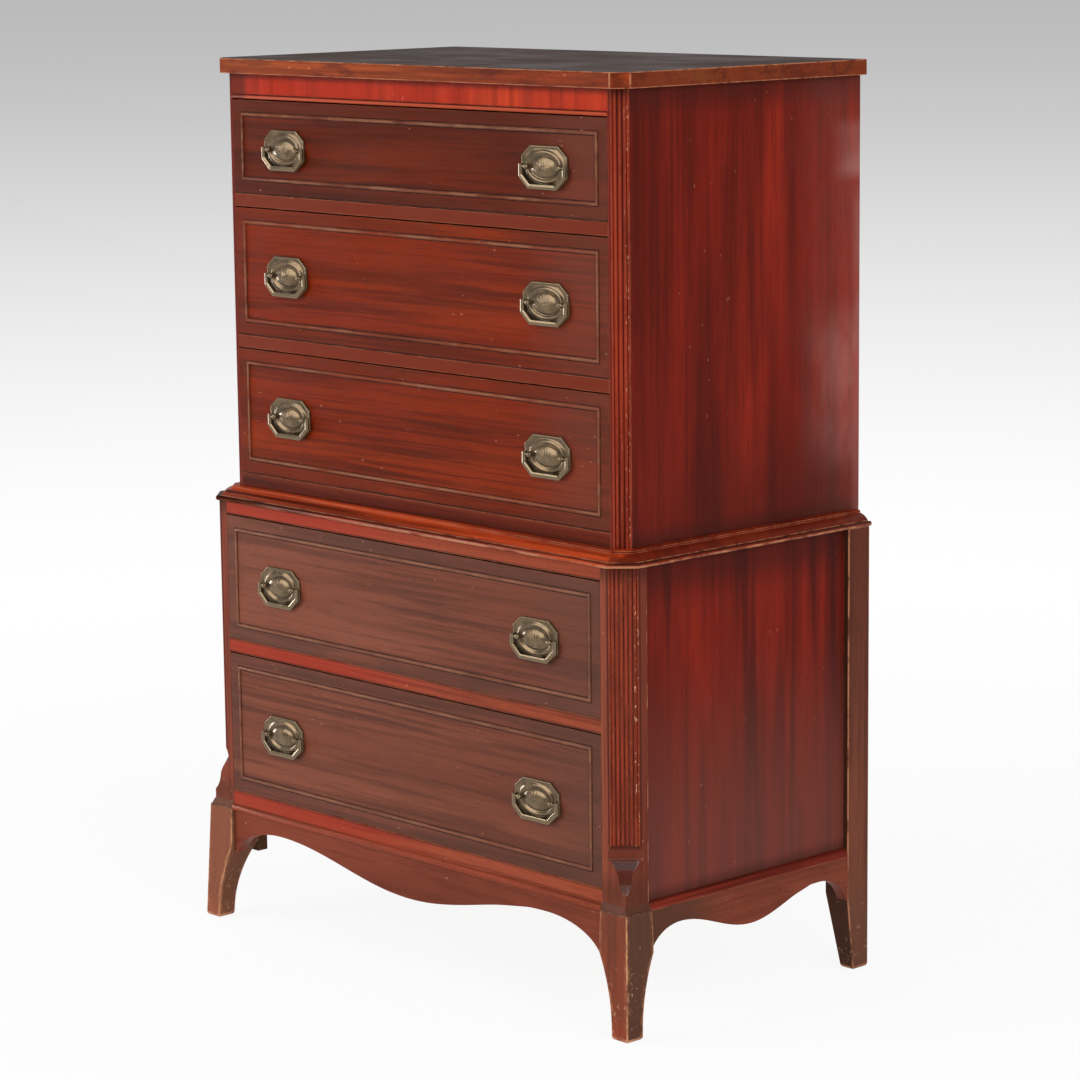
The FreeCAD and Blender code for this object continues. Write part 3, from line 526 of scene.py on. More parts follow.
def tongue(s, place):
    """The parts of the lamb's tongue that the light catches: its hollow top and its tip."""
    hollow = s.band(place[Z], REED_END - 31 * MM, REED_END - 21 * MM, 3 * MM)
    tip = s.band(place[Z], REED_END - 64 * MM, REED_END - 54 * MM, 3 * MM)
    return s.times(slanting(s), s.both(hollow, tip))


def to_side(edge, colour, strength):
    """A colour on everything further out to either side than an edge."""

    def mark(s, place):
        out = s.math("ABSOLUTE", place[X])
        return s.times(s.fade(out, edge - 8 * MM, edge), strength), colour

    return mark


def mottled(first, second, strength):
    """Cloudy patches of two colours along a board's edge."""

    def mark(s, place):
        cloud = s.noise(s.position(), (14, 14, 60), 4.0, 0.65)
        pick = s.fade(s.noise(s.position(), (5, 5, 30), 2.0), 0.42, 0.58)
        return s.times(s.fade(cloud, 0.48, 0.62), strength), s.mix(pick, first, second)

    return mark


def worn_rim(low, high):
    """A rubbed line in patches between two heights, on the faces that look outwards."""

    def mark(s, place):
        patch = s.noise(s.position(), (22, 22, 60), 3.0, 0.65)
        upright = s.fade(s.math("ABSOLUTE", s.dot(s.normal(), (0, 0, 1))), 0.95, 0.8)
        share = s.times(s.band(place[Z], low, high, 0.6 * MM), upright)
        return s.times(share, s.fade(patch, 0.36, 0.6, 0.1, 0.85)), srgb(188, 126, 92)

    return mark


def between(lower, upper, colour, strength):
    """A colour on the rail between two drawers."""
    low, high = box["drawer_%d_front" % lower][1].z, box["drawer_%d_front" % upper][0].z
    return level_band(low, high, 1 * MM, colour, strength)


def painted_sheen(low, high, fringe, edge, soft, colour, strength):
    """A painted sheen: a pale reflection near the back edge of the right side, between two
    heights.
    """

    def mark(s, place):
        cloud = s.noise(s.position(), (9, 14, 8), 3.0, 0.6)
        share = s.times(s.fade(place[Y], edge - soft, edge), s.band(place[Z], low, high, fringe))
        share = s.times(share, s.fade(place[X], 0.0, 0.1))
        return s.times(share, s.fade(cloud, 0.36, 0.62, 0.5, 1.0), strength), colour

    return mark


def rear_line(edge, colour, strength):
    """A rubbed line in patches just ahead of the back edge of a post."""

    def mark(s, place):
        patch = s.noise(s.position(), (60, 60, 22), 3.0, 0.65)
        line = s.band(place[Y], edge - 1.3 * MM, edge, 0.4 * MM)
        return s.times(line, s.fade(patch, 0.5, 0.66), strength), colour

    return mark


def scuffed(level, soft, colour, strength):
    """Small pale scuffs on the faces of a foot, below a height."""

    def mark(s, place):
        scuff = s.fade(s.noise(s.position(), (230, 230, 150), 3.0, 0.7), 0.59, 0.65)
        area = s.fade(s.noise(s.position(), (40, 40, 30), 2.0), 0.42, 0.6)
        low = s.fade(place[Z], level + soft, level)
        return s.times(scuff, area, low, strength), colour

    return mark


# Drawer fronts ------------------------------------------------------------------

TOP_FRONT = tones((84, 24, 4), (46, 13, 3), (102, 33, 8))
UPPER_FRONT = tones((122, 36, 6), (68, 20, 5), (140, 48, 10))
# the lower fronts' tones are greyed by a painted reflection of the white floor
LOWER_FRONT_AND_SHEEN = tones((115, 60, 43), (70, 37, 26), (130, 71, 51))
FRONTS = {  # each drawer front's tones, and the painted sheen that its right end turns to
    1: (TOP_FRONT, srgb(120, 64, 50)),
    2: (UPPER_FRONT, srgb(104, 60, 48)),
    3: (UPPER_FRONT, srgb(104, 60, 48)),
    4: (LOWER_FRONT_AND_SHEEN, srgb(92, 60, 49)),
    5: (LOWER_FRONT_AND_SHEEN, srgb(92, 60, 49)),
}
fronts = {}
for n in DRAWERS:
    colours, end = FRONTS[n]
    if n in UPPER:
        bottom = box["drawer_%d_front" % n][0].z
        # the right end turns to a painted sheen
        marks = [toward(X, 0.2, 0.36, end, 0.5)] + beads_on(n, srgb(74, 31, 18), 0.45)
        # a painted shadow along the gap under the drawer
        marks.append(level_band(bottom, bottom + 1.6 * MM, 0.5 * MM, PAINTED_GAP_SHADE, 0.75))
        looks = dict(lines=0.65)
    else:
        # the right end turns to a painted sheen
        marks = [toward(X, 0.2, 0.4, end, 0.4)] + beads_on(n, srgb(78, 48, 38), 0.6)
        looks = dict(lines=0.5, shine=0.1)
    looks.update(streaks=0.5, wear=0.5, nicks=0.45)
    name = "drawer_front_%d" % n
    fronts[n] = wood(name, "X", seed=n * 2.3, marks=marks, **looks, **colours)

# Sides, rails, posts and moulding -----------------------------------------------

side_looks = dict(swaying=0.005, nicks=0.25)
upper_side = wood(
    "upper_side_veneer",
    "Z",
    **tones((110, 27, 16), (56, 17, 12), (144, 38, 22)),
    seed=3.1,
    marks=[
        # painted shade under the top's overhang
        under(top_low, 0.05, 0.55),
        over(moulding_high, 0.22, 0.5, srgb(58, 19, 13)),
        # painted shade in the corner over the moulding
        over(moulding_high, 0.03, 0.5),
        # painted reflections near the back edge of the right side
        painted_sheen(0.97, 1.27, 90 * MM, side_back + 60 * MM, 260 * MM, srgb(122, 66, 60), 0.55),
        painted_sheen(0.6, 0.74, 90 * MM, side_back + 40 * MM, 200 * MM, srgb(104, 62, 55), 0.45),
        painted_sheen(0.81, 0.91, 90 * MM, side_back + 5 * MM, 150 * MM, srgb(158, 104, 98), 0.7),
        painted_sheen(1.17, 1.22, 25 * MM, side_back + 5 * MM, 75 * MM, srgb(164, 116, 110), 0.6),
        painted_sheen(0.66, 1.1, 60 * MM, side_back, 22 * MM, srgb(156, 98, 92), 0.5),
    ],
    ribbons=0.26,
    streaks=0.24,
    lines=0.3,
    clouds=0.3,
    **side_looks,
)
lower_side = wood(
    "lower_side_veneer",
    "Z",
    **tones((98, 24, 15), (52, 16, 12), (130, 34, 20)),
    seed=7.7,
    marks=[
        # painted shade under the moulding
        under(moulding_low, 0.08, 0.65, srgb(52, 17, 12)),
        # a painted reflection of the white floor, greying the lower part
        over(lower_side_low, 0.38, 0.55, srgb(116, 68, 58)),
        # painted shade along the bottom edge
        over(lower_side_low + 12 * MM, 0.02, 0.5),
    ],
    ribbons=0.62,
    streaks=0.2,
    lines=0.15,
    clouds=0.25,
    **side_looks,
)
upper_rail = wood(
    "upper_rail_wood",
    "X",
    **tones((94, 29, 11), (56, 17, 8), (112, 38, 17)),
    seed=4.4,
    wear=0.6,
    marks=[
        between(2, 1, srgb(98, 22, 3), 0.6),
        between(3, 2, srgb(104, 22, 2), 0.6),
        under(box["drawer_3_front"][0].z, 0.01, 0.5, srgb(124, 52, 31)),
    ],
)
gap_shadows = []  # painted shade of the gaps, along the rails over and under each lower drawer
for n in LOWER:
    low, high = box["drawer_%d_front" % n]
    gap_shadows.append(level_band(high.z + 1 * MM, high.z + 3.6 * MM, 1.5 * MM, PAINTED_GAP_SHADE, 0.6))
    gap_shadows.append(level_band(low.z - 3 * MM, low.z - 0.5 * MM, 1.5 * MM, PAINTED_GAP_SHADE, 0.45))
lower_rail = wood(
    "lower_rail_wood",
    "X",
    **tones((148, 68, 45), (102, 42, 28), (162, 80, 54)),
    seed=5.9,
    wear=0.6,
    marks=[toward(X, 0.15, -0.2, srgb(160, 44, 30), 0.6)] + gap_shadows,
)
frieze = wood(
    "frieze_wood",
    "Z",
    **tones((168, 42, 19), (116, 28, 15), (190, 60, 28)),
    seed=1.2,
    streaks=0.45,
    lines=0.3,
    marks=[
        # painted shade in the groove over the lip
        level_band(frieze_low + 5.2 * MM, frieze_low + 6.6 * MM, 1.0 * MM, PAINTED_GAP_SHADE, 0.8),
        level_band(frieze_low - 1 * MM, frieze_low + 4.6 * MM, 0.8 * MM, srgb(172, 78, 50), 0.75),
        toward(X, -0.36, -0.375, srgb(84, 32, 20), 0.75),
        # painted shadow under the top board
        under(top_low, 0.012, 0.6, srgb(70, 20, 13)),
    ],
)
upper_post = wood(
    "upper_post_wood",
    "Z",
    **tones((124, 38, 23), (74, 23, 15), (146, 50, 30)),
    seed=8.8,
    wear=0.18,
    # the reeds bring painted highlight and shade; under the top, painted shade
    marks=reeds("upper_corner_post_right", 16.5 * MM, 0.65) + [under(top_low, 0.02, 0.5)],
)
lower_post = wood(
    "lower_post_wood",
    "Z",
    **tones((156, 76, 55), (104, 40, 27), (166, 86, 62)),
    seed=9.4,
    wear=0.5,
    marks=[
        sideways(srgb(104, 38, 26), 0.7),
        slant_band(REED_END - 4 * MM, moulding_low, 3 * MM, srgb(124, 42, 26), 0.85),
        # painted shade under the reeds' ends
        slant_band(REED_END - 5 * MM, REED_END + 1 * MM, 2 * MM, srgb(48, 18, 13), 0.75),
        slant_band(REED_END - 19 * MM, REED_END - 5 * MM, 2 * MM, srgb(116, 52, 38), 0.7),
        # painted shade on the middle of the lamb's tongue and in its hollow top
        slant_band(REED_END - 62 * MM, REED_END - 22 * MM, 3 * MM, srgb(74, 22, 16), 0.9),
        slant_band(REED_END - 31 * MM, REED_END - 22 * MM, 2 * MM, srgb(52, 30, 30), 0.8),
        under(0.212, 0.03, 0.4, srgb(84, 46, 34)),
        over(0.195, 0.045, 0.5, srgb(70, 42, 31)),
    ]
    + reeds("lower_corner_post_right", 28.2 * MM, REED_END)
    + [
        # painted shade under the moulding
        under(moulding_low, 0.03, 0.6),
        rear_line(post_back, srgb(186, 128, 96), 0.7),
    ],
    polish=tongue,
)
moulding = wood(
    "moulding_wood",
    "X",
    **tones((168, 52, 21), (98, 28, 13), (188, 70, 29)),
    seed=6.1,
    wear=0.9,
    nicks=0.9,
    marks=[
        to_side(side_edge + 10 * MM, srgb(76, 20, 10), 0.75),
        canted(srgb(92, 32, 17), 0.65),
        # painted shade in the groove along the moulding
        level_band(moulding_low + 6.0 * MM, moulding_low + 7.4 * MM, 0.7 * MM, PAINTED_GAP_SHADE, 0.75),
        worn_rim(moulding_low - 2 * MM, moulding_low + 3.4 * MM),
    ],
)

# Base and top -------------------------------------------------------------------

bead_tones = tones((112, 34, 22), (62, 20, 14), (146, 56, 38))
side_bead = wood("side_bead_wood", "Y", seed=2.6, **bead_tones)
ledge_tones = tones((142, 64, 43), (90, 38, 26), (158, 76, 52))
ledge = wood("ledge_wood", "X", seed=3.7, wear=0.8, **ledge_tones)
apron_looks = dict(streaks=0.35, lines=0.35, clouds=0.4)
apron_looks.update(tones((132, 64, 45), (82, 38, 27), (150, 76, 54)))
# painted shade on the side apron near the front foot
shade_by_foot = toward(Y, apron_front + 0.18, apron_front + 0.06, srgb(74, 50, 38), 0.75)
front_apron = wood("front_apron_wood", "X", seed=5.2, **apron_looks)
side_apron = wood("side_apron_wood", "Y", seed=6.6, marks=[shade_by_foot], **apron_looks)
foot = wood(
    "foot_wood",
    "Z",
    **tones((150, 66, 42), (92, 45, 31), (166, 78, 50)),
    seed=7.1,
    streaks=0.35,
    lines=0.4,
    clouds=0.3,
    wear=1.0,
    wear_radius=4.5 * MM,
    wear_below=COLLAR_LOW,
    battered=0.9,
    patches=0.4,
    shine=0.08,
    rubbed=srgb(196, 138, 100),
    nicks=1.0,
    marks=[
        # painted shade on the side faces
        sideways(srgb(70, 50, 37), 0.8),
        toward(X, -0.28, -0.3, srgb(156, 100, 74), 0.45),
        level_band(0.18, COLLAR_HIGH, 6 * MM, srgb(62, 38, 28), 0.6),
        # painted shade along the collar's ledge
        level_band(0.176, 0.1785, 1 * MM, srgb(48, 26, 19), 0.6),
        under(0.05, 0.05, 0.35, srgb(86, 58, 42)),
        scuffed(0.075, 0.06, srgb(184, 140, 108), 0.8),
    ],
)
back_post = wood(
    "back_post_wood",
    "Z",
    **tones((102, 50, 36), (66, 34, 26), (120, 68, 51)),
    seed=2.2,
    wear=1.0,
    wear_radius=2.8 * MM,
    rubbed=srgb(176, 118, 86),
    nicks=0.8,
    streaks=0.4,
    lines=0.4,
    clouds=0.3,
    marks=[
        over(0.05, 0.15, 0.5, srgb(100, 68, 52)),
        # painted shade on the faces that look forward
        facing((0, -1, 0), srgb(56, 34, 25), 0.7),
        scuffed(0.07, 0.05, srgb(190, 150, 118), 0.7),
    ],
)
top = wood(
    "top_wood",
    "X",
    **tones((150, 60, 27), (94, 37, 18), (164, 78, 36)),
    seed=1.9,
    streaks=0.75,
    wear=0.9,
    wear_radius=2.6 * MM,
    rubbed=srgb(178, 116, 82),
    nicks=1.0,
    gloss=0.42,
    marks=[
        mottled(srgb(140, 78, 38), srgb(82, 28, 18), 0.6),
        sideways(srgb(84, 36, 23), 0.6),
        facing((0, 0, 1), srgb(42, 25, 19), 0.92),
    ],
)

# Bare wood and brass ------------------------------------------------------------

pine = tones((196, 160, 116), (160, 116, 74), (214, 184, 142))
box_wood = bare_wood("drawer_side_wood", "Y", seed=1.3, **pine)
bottom_wood = bare_wood("drawer_bottom_wood", "X", seed=2.9, **pine)
runner_wood = bare_wood("runner_wood", "Y", seed=4.1, stain=0.6, **pine)
blocks = tones((84, 54, 38), (58, 38, 28), (100, 68, 48))
block_wood = bare_wood("corner_block_wood", "X", seed=5.5, **blocks)
backs = tones((138, 96, 66), (100, 66, 44), (158, 116, 82))
back_wood = bare_wood("back_panel_wood", "Z", seed=3.3, stain=0.5, **backs)
cast_brass = brass("cast_brass", 0.0, relief=True)
turned_brass = brass("turned_brass", 4.0, relief=False)

FINISHES = {  # each sub-part's material, and the same wood on its rubbed arrises
    "top_board": top,
    "frieze_rail": frieze,
    "upper_side_panels": upper_side,
    "upper_drawer_rails": upper_rail,
    "upper_bottom_panel": bottom_wood,
    "upper_back_panel": back_wood,
    "waist_moulding": moulding,
    "lower_side_panels": lower_side,
    "side_panel_beads": side_bead,
    "lower_drawer_rails": lower_rail,
    "lower_back_panel": back_wood,
    "drawer_runners": runner_wood,
    "dust_panels": bottom_wood,
    "base_ledge": ledge,
    "front_apron": front_apron,
    "side_aprons": side_apron,
    "corner_blocks": block_wood,
}
for hand in HANDS:
    FINISHES["upper_corner_post_" + hand] = upper_post
    FINISHES["lower_corner_post_" + hand] = lower_post
    FINISHES["lower_back_post_" + hand] = back_post
    FINISHES["front_foot_" + hand] = foot
for n in DRAWERS:
    FINISHES["drawer_%d_front" % n] = fronts[n]
    FINISHES["drawer_%d_box" % n] = box_wood
    FINISHES["drawer_%d_bottom" % n] = bottom_wood
    FINISHES["drawer_%d_posts" % n] = turned_brass

# Arrises ------------------------------------------------------------------------

EASE = 0.8 * MM  # the width to which sharp edges are eased
EASED = {"top_board": 1.3 * MM, "waist_moulding": 0.5 * MM}  # where it isn't that
ON_FLOOR = (
    "front_foot_left",
    "front_foot_right",
    "lower_back_post_left",
    "lower_back_post_right",
)
FLATTENED = ON_FLOOR + ("waist_moulding",)  # their faces are joined up before easing
UNEASED = ["drawer_runners"] + ["drawer_%d_posts" % n for n in DRAWERS]
SHARP = math.radians(40)  # an edge that turns by more than this is eased
FOOT_WEAR = 5.2 * MM  # how far the bottoms of the feet are worn round
POST_SHARE = 0.3  # the share of that wear on the other edges of a foot
COLLAR_LESS = 0.18  # what the collar's edges take off that share


def worn_edges():
    """Nodes that weigh the sharp edges of a foot for its bevel, most of all at the floor."""
    group = bpy.data.node_groups.new("worn_edges", "GeometryNodeTree")
    for way in ("INPUT", "OUTPUT"):
        group.interface.new_socket("Geometry", in_out=way, socket_type="NodeSocketGeometry")

    def number(operation, first, second):
        return add_node(group, "ShaderNodeMath", {0: first, 1: second}, operation=operation)

    sharp = number("GREATER_THAN", add_node(group, "GeometryNodeInputMeshEdgeAngle", {}), SHARP)
    position = add_node(group, "GeometryNodeInputPosition", {})
    height = add_node(group, "ShaderNodeSeparateXYZ", {0: position}, Z)
    rise = {0: height, 1: 0.5 * MM, 2: MM, 3: 1.0, 4: POST_SHARE}
    worn = add_node(group, "ShaderNodeMapRange", rise)
    above = number("GREATER_THAN", height, COLLAR_LOW)
    below = number("LESS_THAN", height, COLLAR_HIGH)
    less = number("MULTIPLY", number("MULTIPLY", above, below), COLLAR_LESS)
    weight = number("MULTIPLY", sharp, number("SUBTRACT", worn, less))
    shape = add_node(group, "NodeGroupInput", {})
    stored = add_node(
        group,
        "GeometryNodeStoreNamedAttribute",
        {"Geometry": shape, "Name": "bevel_weight_edge", "Value": weight},
        data_type="FLOAT",
        domain="EDGE",
    )
    add_node(group, "NodeGroupOutput", {0: stored})
    return group


edge_weights = worn_edges()

for name, finish in FINISHES.items():
    node = nodes[name]
    node.data.materials.clear()
    for material in finish:
        node.data.materials.append(material)
    if name in UNEASED:
        continue
    weld = node.modifiers.new("weld", "WELD")
    weld.merge_threshold = 0.005 * MM
    if name in FLATTENED:
        flat = node.modifiers.new("flat", "DECIMATE")
        flat.decimate_type = "DISSOLVE"
        flat.angle_limit = math.radians(0.5)
    if name in ON_FLOOR:
        node.modifiers.new("worn", "NODES").node_group = edge_weights
    ease = node.modifiers.new("ease", "BEVEL")
    ease.material = len(finish) - 1
    if name in ON_FLOOR:
        ease.width, ease.segments = FOOT_WEAR, 3
        ease.limit_method = "WEIGHT"
        ease.use_clamp_overlap = False
    else:
        ease.width, ease.segments = EASED.get(name, EASE), 2
        ease.limit_method = "ANGLE"
        ease.angle_limit = SHARP
        ease.use_clamp_overlap = True

# Pulls --------------------------------------------------------------------------

PLATE_HALF = (45 * MM, 29 * MM)  # half the plate's width and height
PLATE_CLIP = (17 * MM, 14 * MM)  # what its corners lose, across and up
DOME = (27.3 * MM, 15.3 * MM)  # half the dome's width and height
DOME_RISE = 5.6 * MM
DOME_RINGS = 22
CHASE_DEPTH = 0.45 * MM  # how deep the ground lies between the leaves of the sheaf
RING = (33.0 * MM, 20.2 * MM)  # the crest of the swell round the dome
RING_BREADTH = (5.2 * MM, 4.4 * MM)
RING_RISE = 2.2 * MM
FLOOR = 2 * MM  # the heights of the plate's floor and of its rim
RIM = 3.3 * MM
RIM_WIDTH = 3.2 * MM
SPOKES = 168


def oval(axes, angle):
    """A point of an oval, from half its width and height."""
    return axes[0] * math.cos(angle), axes[1] * math.sin(angle)


def clipped(inset, angle):
    """Where a ray at this angle meets the plate's octagon, set in by a distance."""
    x, z = oval(PLATE_HALF, angle)
    half_x, half_z = PLATE_HALF[0] - inset, PLATE_HALF[1] - inset
    clip_x, clip_z = PLATE_CLIP[0] - 0.7 * inset, PLATE_CLIP[1] - 0.7 * inset
    slant = half_x * clip_z + half_z * clip_x - clip_x * clip_z
    lean = abs(x) * clip_z + abs(z) * clip_x
    reach = min(half_x / max(abs(x), 1e-9), half_z / max(abs(z), 1e-9), slant / lean)
    return x * reach, z * reach


def stem(start, bend, end, count=14):
    """Points along a curved line of the chased sheaf."""
    points = []
    for step in range(count + 1):
        t = step / count
        a, b, c = (1 - t) ** 2, 2 * t * (1 - t), t * t
        points.append(
            (a * start[0] + b * bend[0] + c * end[0], a * start[1] + b * bend[1] + c * end[1])
        )
    return points


# A plain sheaf of leaves, each a line from its foot through a bend to its tip (mm).
SHEAF = [
    stem((5, -11), (2, -4), (-13, 7)),
    stem((5, -11), (3, -3), (-8, 10)),
    stem((5, -11), (4, -2), (-2, 12)),
    stem((5, -11), (6, -2), (4, 11.5)),
    stem((5, -11), (8, -3), (10, 9)),
    stem((5, -11), (0, -7), (-15, 2)),
    stem((5, -11), (9, -6), (15, 4)),
    stem((0, -12), (4, -10), (10, -11)),
    stem((-14, -5), (-8, -9), (0, -12)),
]


def chased(x, z):
    """Height of the sheaf at a point of the dome, 0 to 1."""
    best = 0.0
    for line in SHEAF:
        for index, (a, b) in enumerate(line):
            share = index / (len(line) - 1)
            thick = 0.5 + 0.9 * math.sin(math.pi * min(1, share * 1.05)) ** 1.5
            distance = math.hypot(x / MM - a, z / MM - b)
            best = max(best, math.exp(-((distance / thick) ** 2)))
    return best


def plate_rings():
    """Rings of (x, z, height, relief) from the middle of the plate to its back edge."""
    rings = []
    angles = [2 * math.pi * k / SPOKES for k in range(SPOKES)]
    for step in range(1, DOME_RINGS + 1):
        share = math.sin(math.pi / 2 * step / DOME_RINGS)
        rise = DOME_RISE * max(0.0, 1 - share**2.8) ** 0.6
        ring = []
        for angle in angles:
            x, z = (share * part for part in oval(DOME, angle))
            inner = 1 - max(0.0, (share - 0.82) / 0.18)
            sheaf = chased(x, z) * max(0.0, inner)
            low = CHASE_DEPTH * inner
            height = FLOOR + rise - low + sheaf * low
            ring.append((x, z, height, 0.35 + 0.5 * sheaf))
        rings.append(ring)
    for turn in range(11):
        across = -1 + turn / 5
        up = RING_RISE * math.cos(math.pi / 2 * across) ** 1.4 if abs(across) < 1 else 0.0
        axes = [crest + across * breadth for crest, breadth in zip(RING, RING_BREADTH)]
        relief = 0.35 + 0.35 * up / RING_RISE
        rings.append([(*oval(axes, a), FLOOR + up, relief) for a in angles])
    for inset, height, relief in (
        (RIM_WIDTH + 0.9 * MM, FLOOR, 0.38),
        (RIM_WIDTH + 0.3 * MM, FLOOR, 0.25),
        (RIM_WIDTH - 0.2 * MM, FLOOR + 0.5 * (RIM - FLOOR), 0.4),
        (RIM_WIDTH - 0.9 * MM, RIM - 0.15 * MM, 0.9),
        (RIM_WIDTH - 1.3 * MM, RIM, 0.8),
        (1.1 * MM, RIM, 0.7),
        (0.65 * MM, RIM - 0.12 * MM, 0.95),
        (0.25 * MM, RIM - 0.6 * MM, 0.6),
        (0.0, 0.9 * MM, 0.3),
        (0.0, 0.0, 0.1),
    ):
        rings.append([(*clipped(inset, a), height, relief) for a in angles])
    return rings


def add_row(shell, points, centre, face):
    """A row of vertices from (x, z, height, relief), round a pull's centre on a drawer's face."""
    relief = shell.verts.layers.float["relief"]
    row = []
    for x, z, height, share in points:
        vert = shell.verts.new((centre[0] + x, face - height, centre[1] + z))
        vert[relief] = share
        row.append(vert)
    return row


def join_rows(shell, first, second, closed=True):
    """Faces between two rows of vertices."""
    count = len(first)
    for k in range(count if closed else count - 1):
        follow = (k + 1) % count
        shell.faces.new((first[k], first[follow], second[follow], second[k]))


def smoothed(shell):
    """The shell with its faces turned outwards and shaded smooth."""
    bmesh.ops.recalc_face_normals(shell, faces=shell.faces)
    for made in shell.faces:
        made.smooth = True
    return shell


def raised(rings, hub, centre, face):
    """A closed shell from a point at its hub, rings of points round it, and a flat back."""
    shell = bmesh.new()
    shell.verts.layers.float.new("relief")
    rows = [add_row(shell, ring, centre, face) for ring in rings]
    middle = add_row(shell, [hub], centre, face)[0]
    count = len(rows[0])
    for k in range(count):
        shell.faces.new((middle, rows[0][(k + 1) % count], rows[0][k]))
    for inner, outer in zip(rows, rows[1:]):
        join_rows(shell, inner, outer)
    shell.faces.new(rows[-1])
    return smoothed(shell)


def piece(name, shell, material, body, replaced):
    """Hands a shell over as a piece that rides on a body and stands in for a sub-part."""
    mesh = bpy.data.meshes.new(name)
    shell.to_mesh(mesh)
    shell.free()
    mesh.materials.append(material[0])
    made = bpy.data.objects.new(name, mesh)
    scene.collection.objects.link(made)
    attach(made, body)
    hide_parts(replaced)


BAIL_HALF = 46.5 * MM  # half the bail's width
BAIL_TOP = 3 * MM  # how far its arms stand over the pins, and hang straight under them
BAIL_ARM = 14 * MM
BAIL_DROP = 30.5 * MM
BAIL_BOTTOM = 28 * MM  # half the width of its straight bottom
BAIL_WIDTH = 7 * MM
BAIL_BACK = 5.5 * MM  # how far its back is from the drawer's face
PIN_END = 30.2 * MM  # from the middle of the pull to the inner end of a pin
PIN_AXIS = 7 * MM  # how far the pins are from the drawer's face
PIN_RADIUS, PIN_TIP = 1.6 * MM, 1.3 * MM
PIN_SIDES = 20
# The bail's section: distance in from its outer edge, height, and relief.
BAIL_SECTION = [
    (0.0, 0.25, 0.3),
    (0.0, 1.5, 0.5),
    (0.35, 2.1, 0.95),
    (0.9, 2.4, 1.0),
    (1.5, 2.55, 0.75),
    (2.2, 2.85, 0.7),
    (3.5, 3.0, 0.85),
    (4.8, 2.85, 0.7),
    (5.5, 2.55, 0.75),
    (6.1, 2.4, 1.0),
    (6.65, 2.1, 0.95),
    (7.0, 1.5, 0.5),
    (7.0, 0.25, 0.3),
    (6.6, 0.0, 0.1),
    (0.4, 0.0, 0.1),
]


def bail_line(inset):
    """The bail's outline from its left top round to its right top, set in by a distance."""
    turn = math.atan2(BAIL_HALF - BAIL_BOTTOM, BAIL_DROP - BAIL_ARM)
    right = [
        (BAIL_BOTTOM - inset * math.tan((math.pi / 2 - turn) / 2), -BAIL_DROP + inset),
        (BAIL_HALF - inset, -BAIL_ARM + inset * math.tan(turn / 2)),
        (BAIL_HALF - inset, BAIL_TOP),
    ]
    return [(-x, z) for x, z in reversed(right)] + right


def stations_on(line, spread):
    """Points at these shares of each stretch of a line, so that its corners shade as rounded."""
    stations = []
    for (x0, z0), (x1, z1) in zip(line, line[1:]):
        for t in spread:
            stations.append((x0 + t * (x1 - x0), z0 + t * (z1 - z0)))
    stations.append(line[-1])
    return stations


def bail_shell(centre, face):
    """The bail, swept along its outline, and the two pins that it hangs from."""
    shell = bmesh.new()
    shell.verts.layers.float.new("relief")
    rows = []
    for inset, height, relief in BAIL_SECTION:
        line = stations_on(bail_line(inset * MM), (0.0, 0.04, 0.5, 0.96))
        points = [(x, z, BAIL_BACK + height * MM, relief) for x, z in line]
        rows.append(add_row(shell, points, centre, face))
    for first, second in zip(rows, rows[1:] + rows[:1]):
        join_rows(shell, first, second, closed=False)
    for end in (0, -1):
        shell.faces.new([row[end] for row in rows])
    angles = [2 * math.pi * k / PIN_SIDES for k in range(PIN_SIDES)]
    for side in (-1, 1):
        start, stop = side * (BAIL_HALF - BAIL_WIDTH / 2), side * PIN_END
        profile = (start, PIN_RADIUS), (stop + side * 0.3 * MM, PIN_RADIUS), (stop, PIN_TIP)
        pin = []
        for x, radius in profile:
            points = [
                (x, radius * math.sin(angle), PIN_AXIS - radius * math.cos(angle), 0.4)
                for angle in angles
            ]
            pin.append(add_row(shell, points, centre, face))
        for inner, outer in zip(pin, pin[1:]):
            join_rows(shell, inner, outer)
        shell.faces.new(pin[-1])
        shell.faces.new(pin[0])
    smoothed(shell)
    for edge in shell.edges:
        if edge.is_manifold and edge.calc_face_angle() > math.radians(28):
            edge.smooth = False
    return shell


rings = plate_rings()
hub = (0.0, 0.0, FLOOR + DOME_RISE - CHASE_DEPTH, 0.4)
for n in DRAWERS:
    body = "drawer_%d" % n
    plates = body + "_plates"
    face = box[body + "_front"][0].y + BEAD_PROUD
    low, high = box[plates]
    level = (low.z + high.z) / 2
    for hand in HANDS:
        bail = "%s_bail_%s" % (body, hand)
        low, high = box[bail]
        centre = ((low.x + high.x) / 2, level)
        plate = raised(rings, hub, centre, face)
        piece("%s_plate_%s" % (body, hand), plate, cast_brass, body, plates)
        cast = bail_shell(centre, face)
        piece("%s_bail_cast_%s" % (body, hand), cast, cast_brass, bail, bail)

# Floor and light ----------------------------------------------------------------


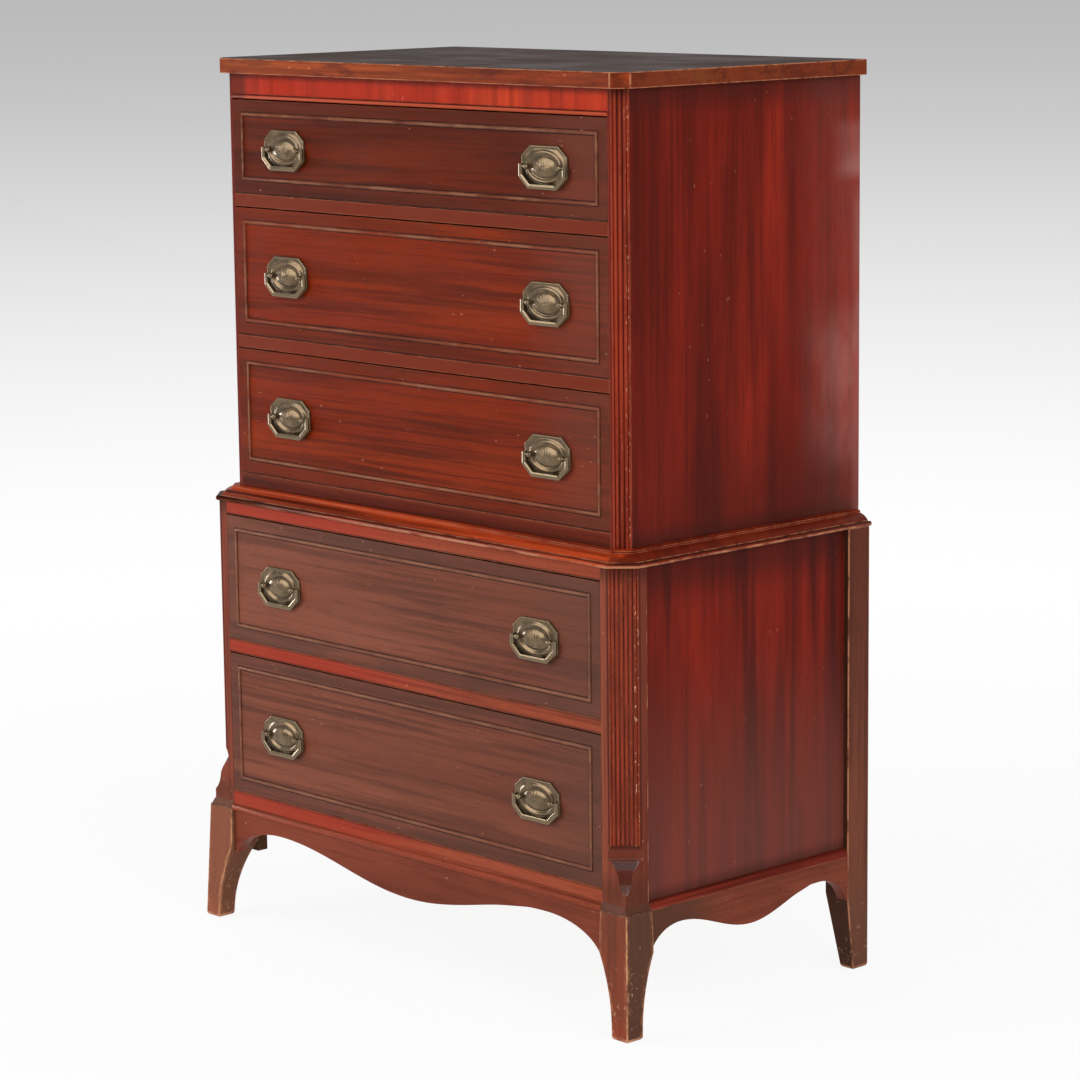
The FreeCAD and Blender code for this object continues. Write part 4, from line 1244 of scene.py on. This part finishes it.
def floor_material():
    """White near the chest and greyer far away, with the chest's shadow on it."""
    s = Shader("studio_floor")
    x, y = s.split(s.position())[:2]
    far = s.node("ShaderNodeVectorMath", {0: s.join(x, y, 0.0)}, "Value", operation="LENGTH")
    nearness = s.math("DIVIDE", 1.0, s.math("ADD", 1.0, s.times(far, 0.12)))
    tone = s.fade(nearness, 0.1, 0.74)
    colour = s.mix(tone, GREY, srgb(255, 255, 255))
    glow = s.node("ShaderNodeEmission", {"Color": colour, "Strength": 1.0})
    matte = s.node("ShaderNodeBsdfDiffuse", {"Color": srgb(250, 250, 250)})
    close = s.fade(far, 3.0, 0.9, 0.0, 0.1)
    shown = s.node("ShaderNodeMixShader", {0: close, 1: glow, 2: matte})
    path = s.tree.nodes.new("ShaderNodeLightPath").outputs
    mirrored = s.both(path["Is Glossy Ray"], path["Is Transmission Ray"])
    seen = s.both(path["Is Camera Ray"], mirrored)
    surface = s.node("ShaderNodeMixShader", {0: seen, 1: matte, 2: shown})
    s.node("ShaderNodeOutputMaterial", {"Surface": surface})
    return s.material


ground = bmesh.new()
bmesh.ops.create_circle(ground, cap_ends=True, segments=64, radius=80)
ground_mesh = bpy.data.meshes.new("floor")
ground.to_mesh(ground_mesh)
ground.free()
ground_mesh.materials.append(floor_material())
floor = bpy.data.objects.new("floor", ground_mesh)
scene.collection.objects.link(floor)

world = bpy.data.worlds.new("studio")
scene.world = world
world.use_nodes = True
backdrop = world.node_tree.nodes["Background"]
backdrop.inputs["Color"].default_value = GREY
backdrop.inputs["Strength"].default_value = 1.0


def softbox(name, place, target, width, height, power):
    """A large soft lamp at a place that looks at a target."""
    lamp = bpy.data.lights.new(name, "AREA")
    lamp.shape = "RECTANGLE"
    lamp.size = width
    lamp.size_y = height
    lamp.energy = power
    holder = bpy.data.objects.new(name, lamp)
    scene.collection.objects.link(holder)
    holder.location = place
    aim = Vector(target) - Vector(place)
    holder.rotation_euler = aim.to_track_quat("-Z", "Y").to_euler()


softbox("key", (-2.6, -4.6, 2.9), (0, 0, 0.7), 3.6, 3.6, 160)
softbox("side", (4.6, -1.2, 2.8), (0, 0, 0.7), 2.4, 2.8, 110)
softbox("rake", (-4.4, -1.0, 0.5), (0, 0, 0.8), 0.8, 1.2, 45)

# Camera, from its place, its turn and its focal length in pixels of a square image --

IMAGE = 1080
FOCAL_PIXELS = 3615.1
SENSOR = 36
PLACE = Vector((3.8565, -3.59585, 1.5388))
AZIMUTH, PITCH, ROLL = (math.radians(angle) for angle in (46.815, 9.963, 0.645))
ahead = Vector(
    (-math.sin(AZIMUTH) * math.cos(PITCH), math.cos(AZIMUTH) * math.cos(PITCH), -math.sin(PITCH))
)
right = Vector((math.cos(AZIMUTH), math.sin(AZIMUTH), 0))
down = ahead.cross(right)
image_right = math.cos(ROLL) * right + math.sin(ROLL) * down
image_down = -math.sin(ROLL) * right + math.cos(ROLL) * down
turn = Matrix((image_right, -image_down, -ahead)).transposed()
lens = bpy.data.cameras.new("camera")
lens.sensor_width = SENSOR
lens.lens = FOCAL_PIXELS / IMAGE * SENSOR
lens.clip_end = 200
camera = bpy.data.objects.new("camera", lens)
camera.matrix_world = Matrix.Translation(PLACE) @ turn.to_4x4()
scene.collection.objects.link(camera)
scene.camera = camera
scene.view_settings.view_transform = "Standard"
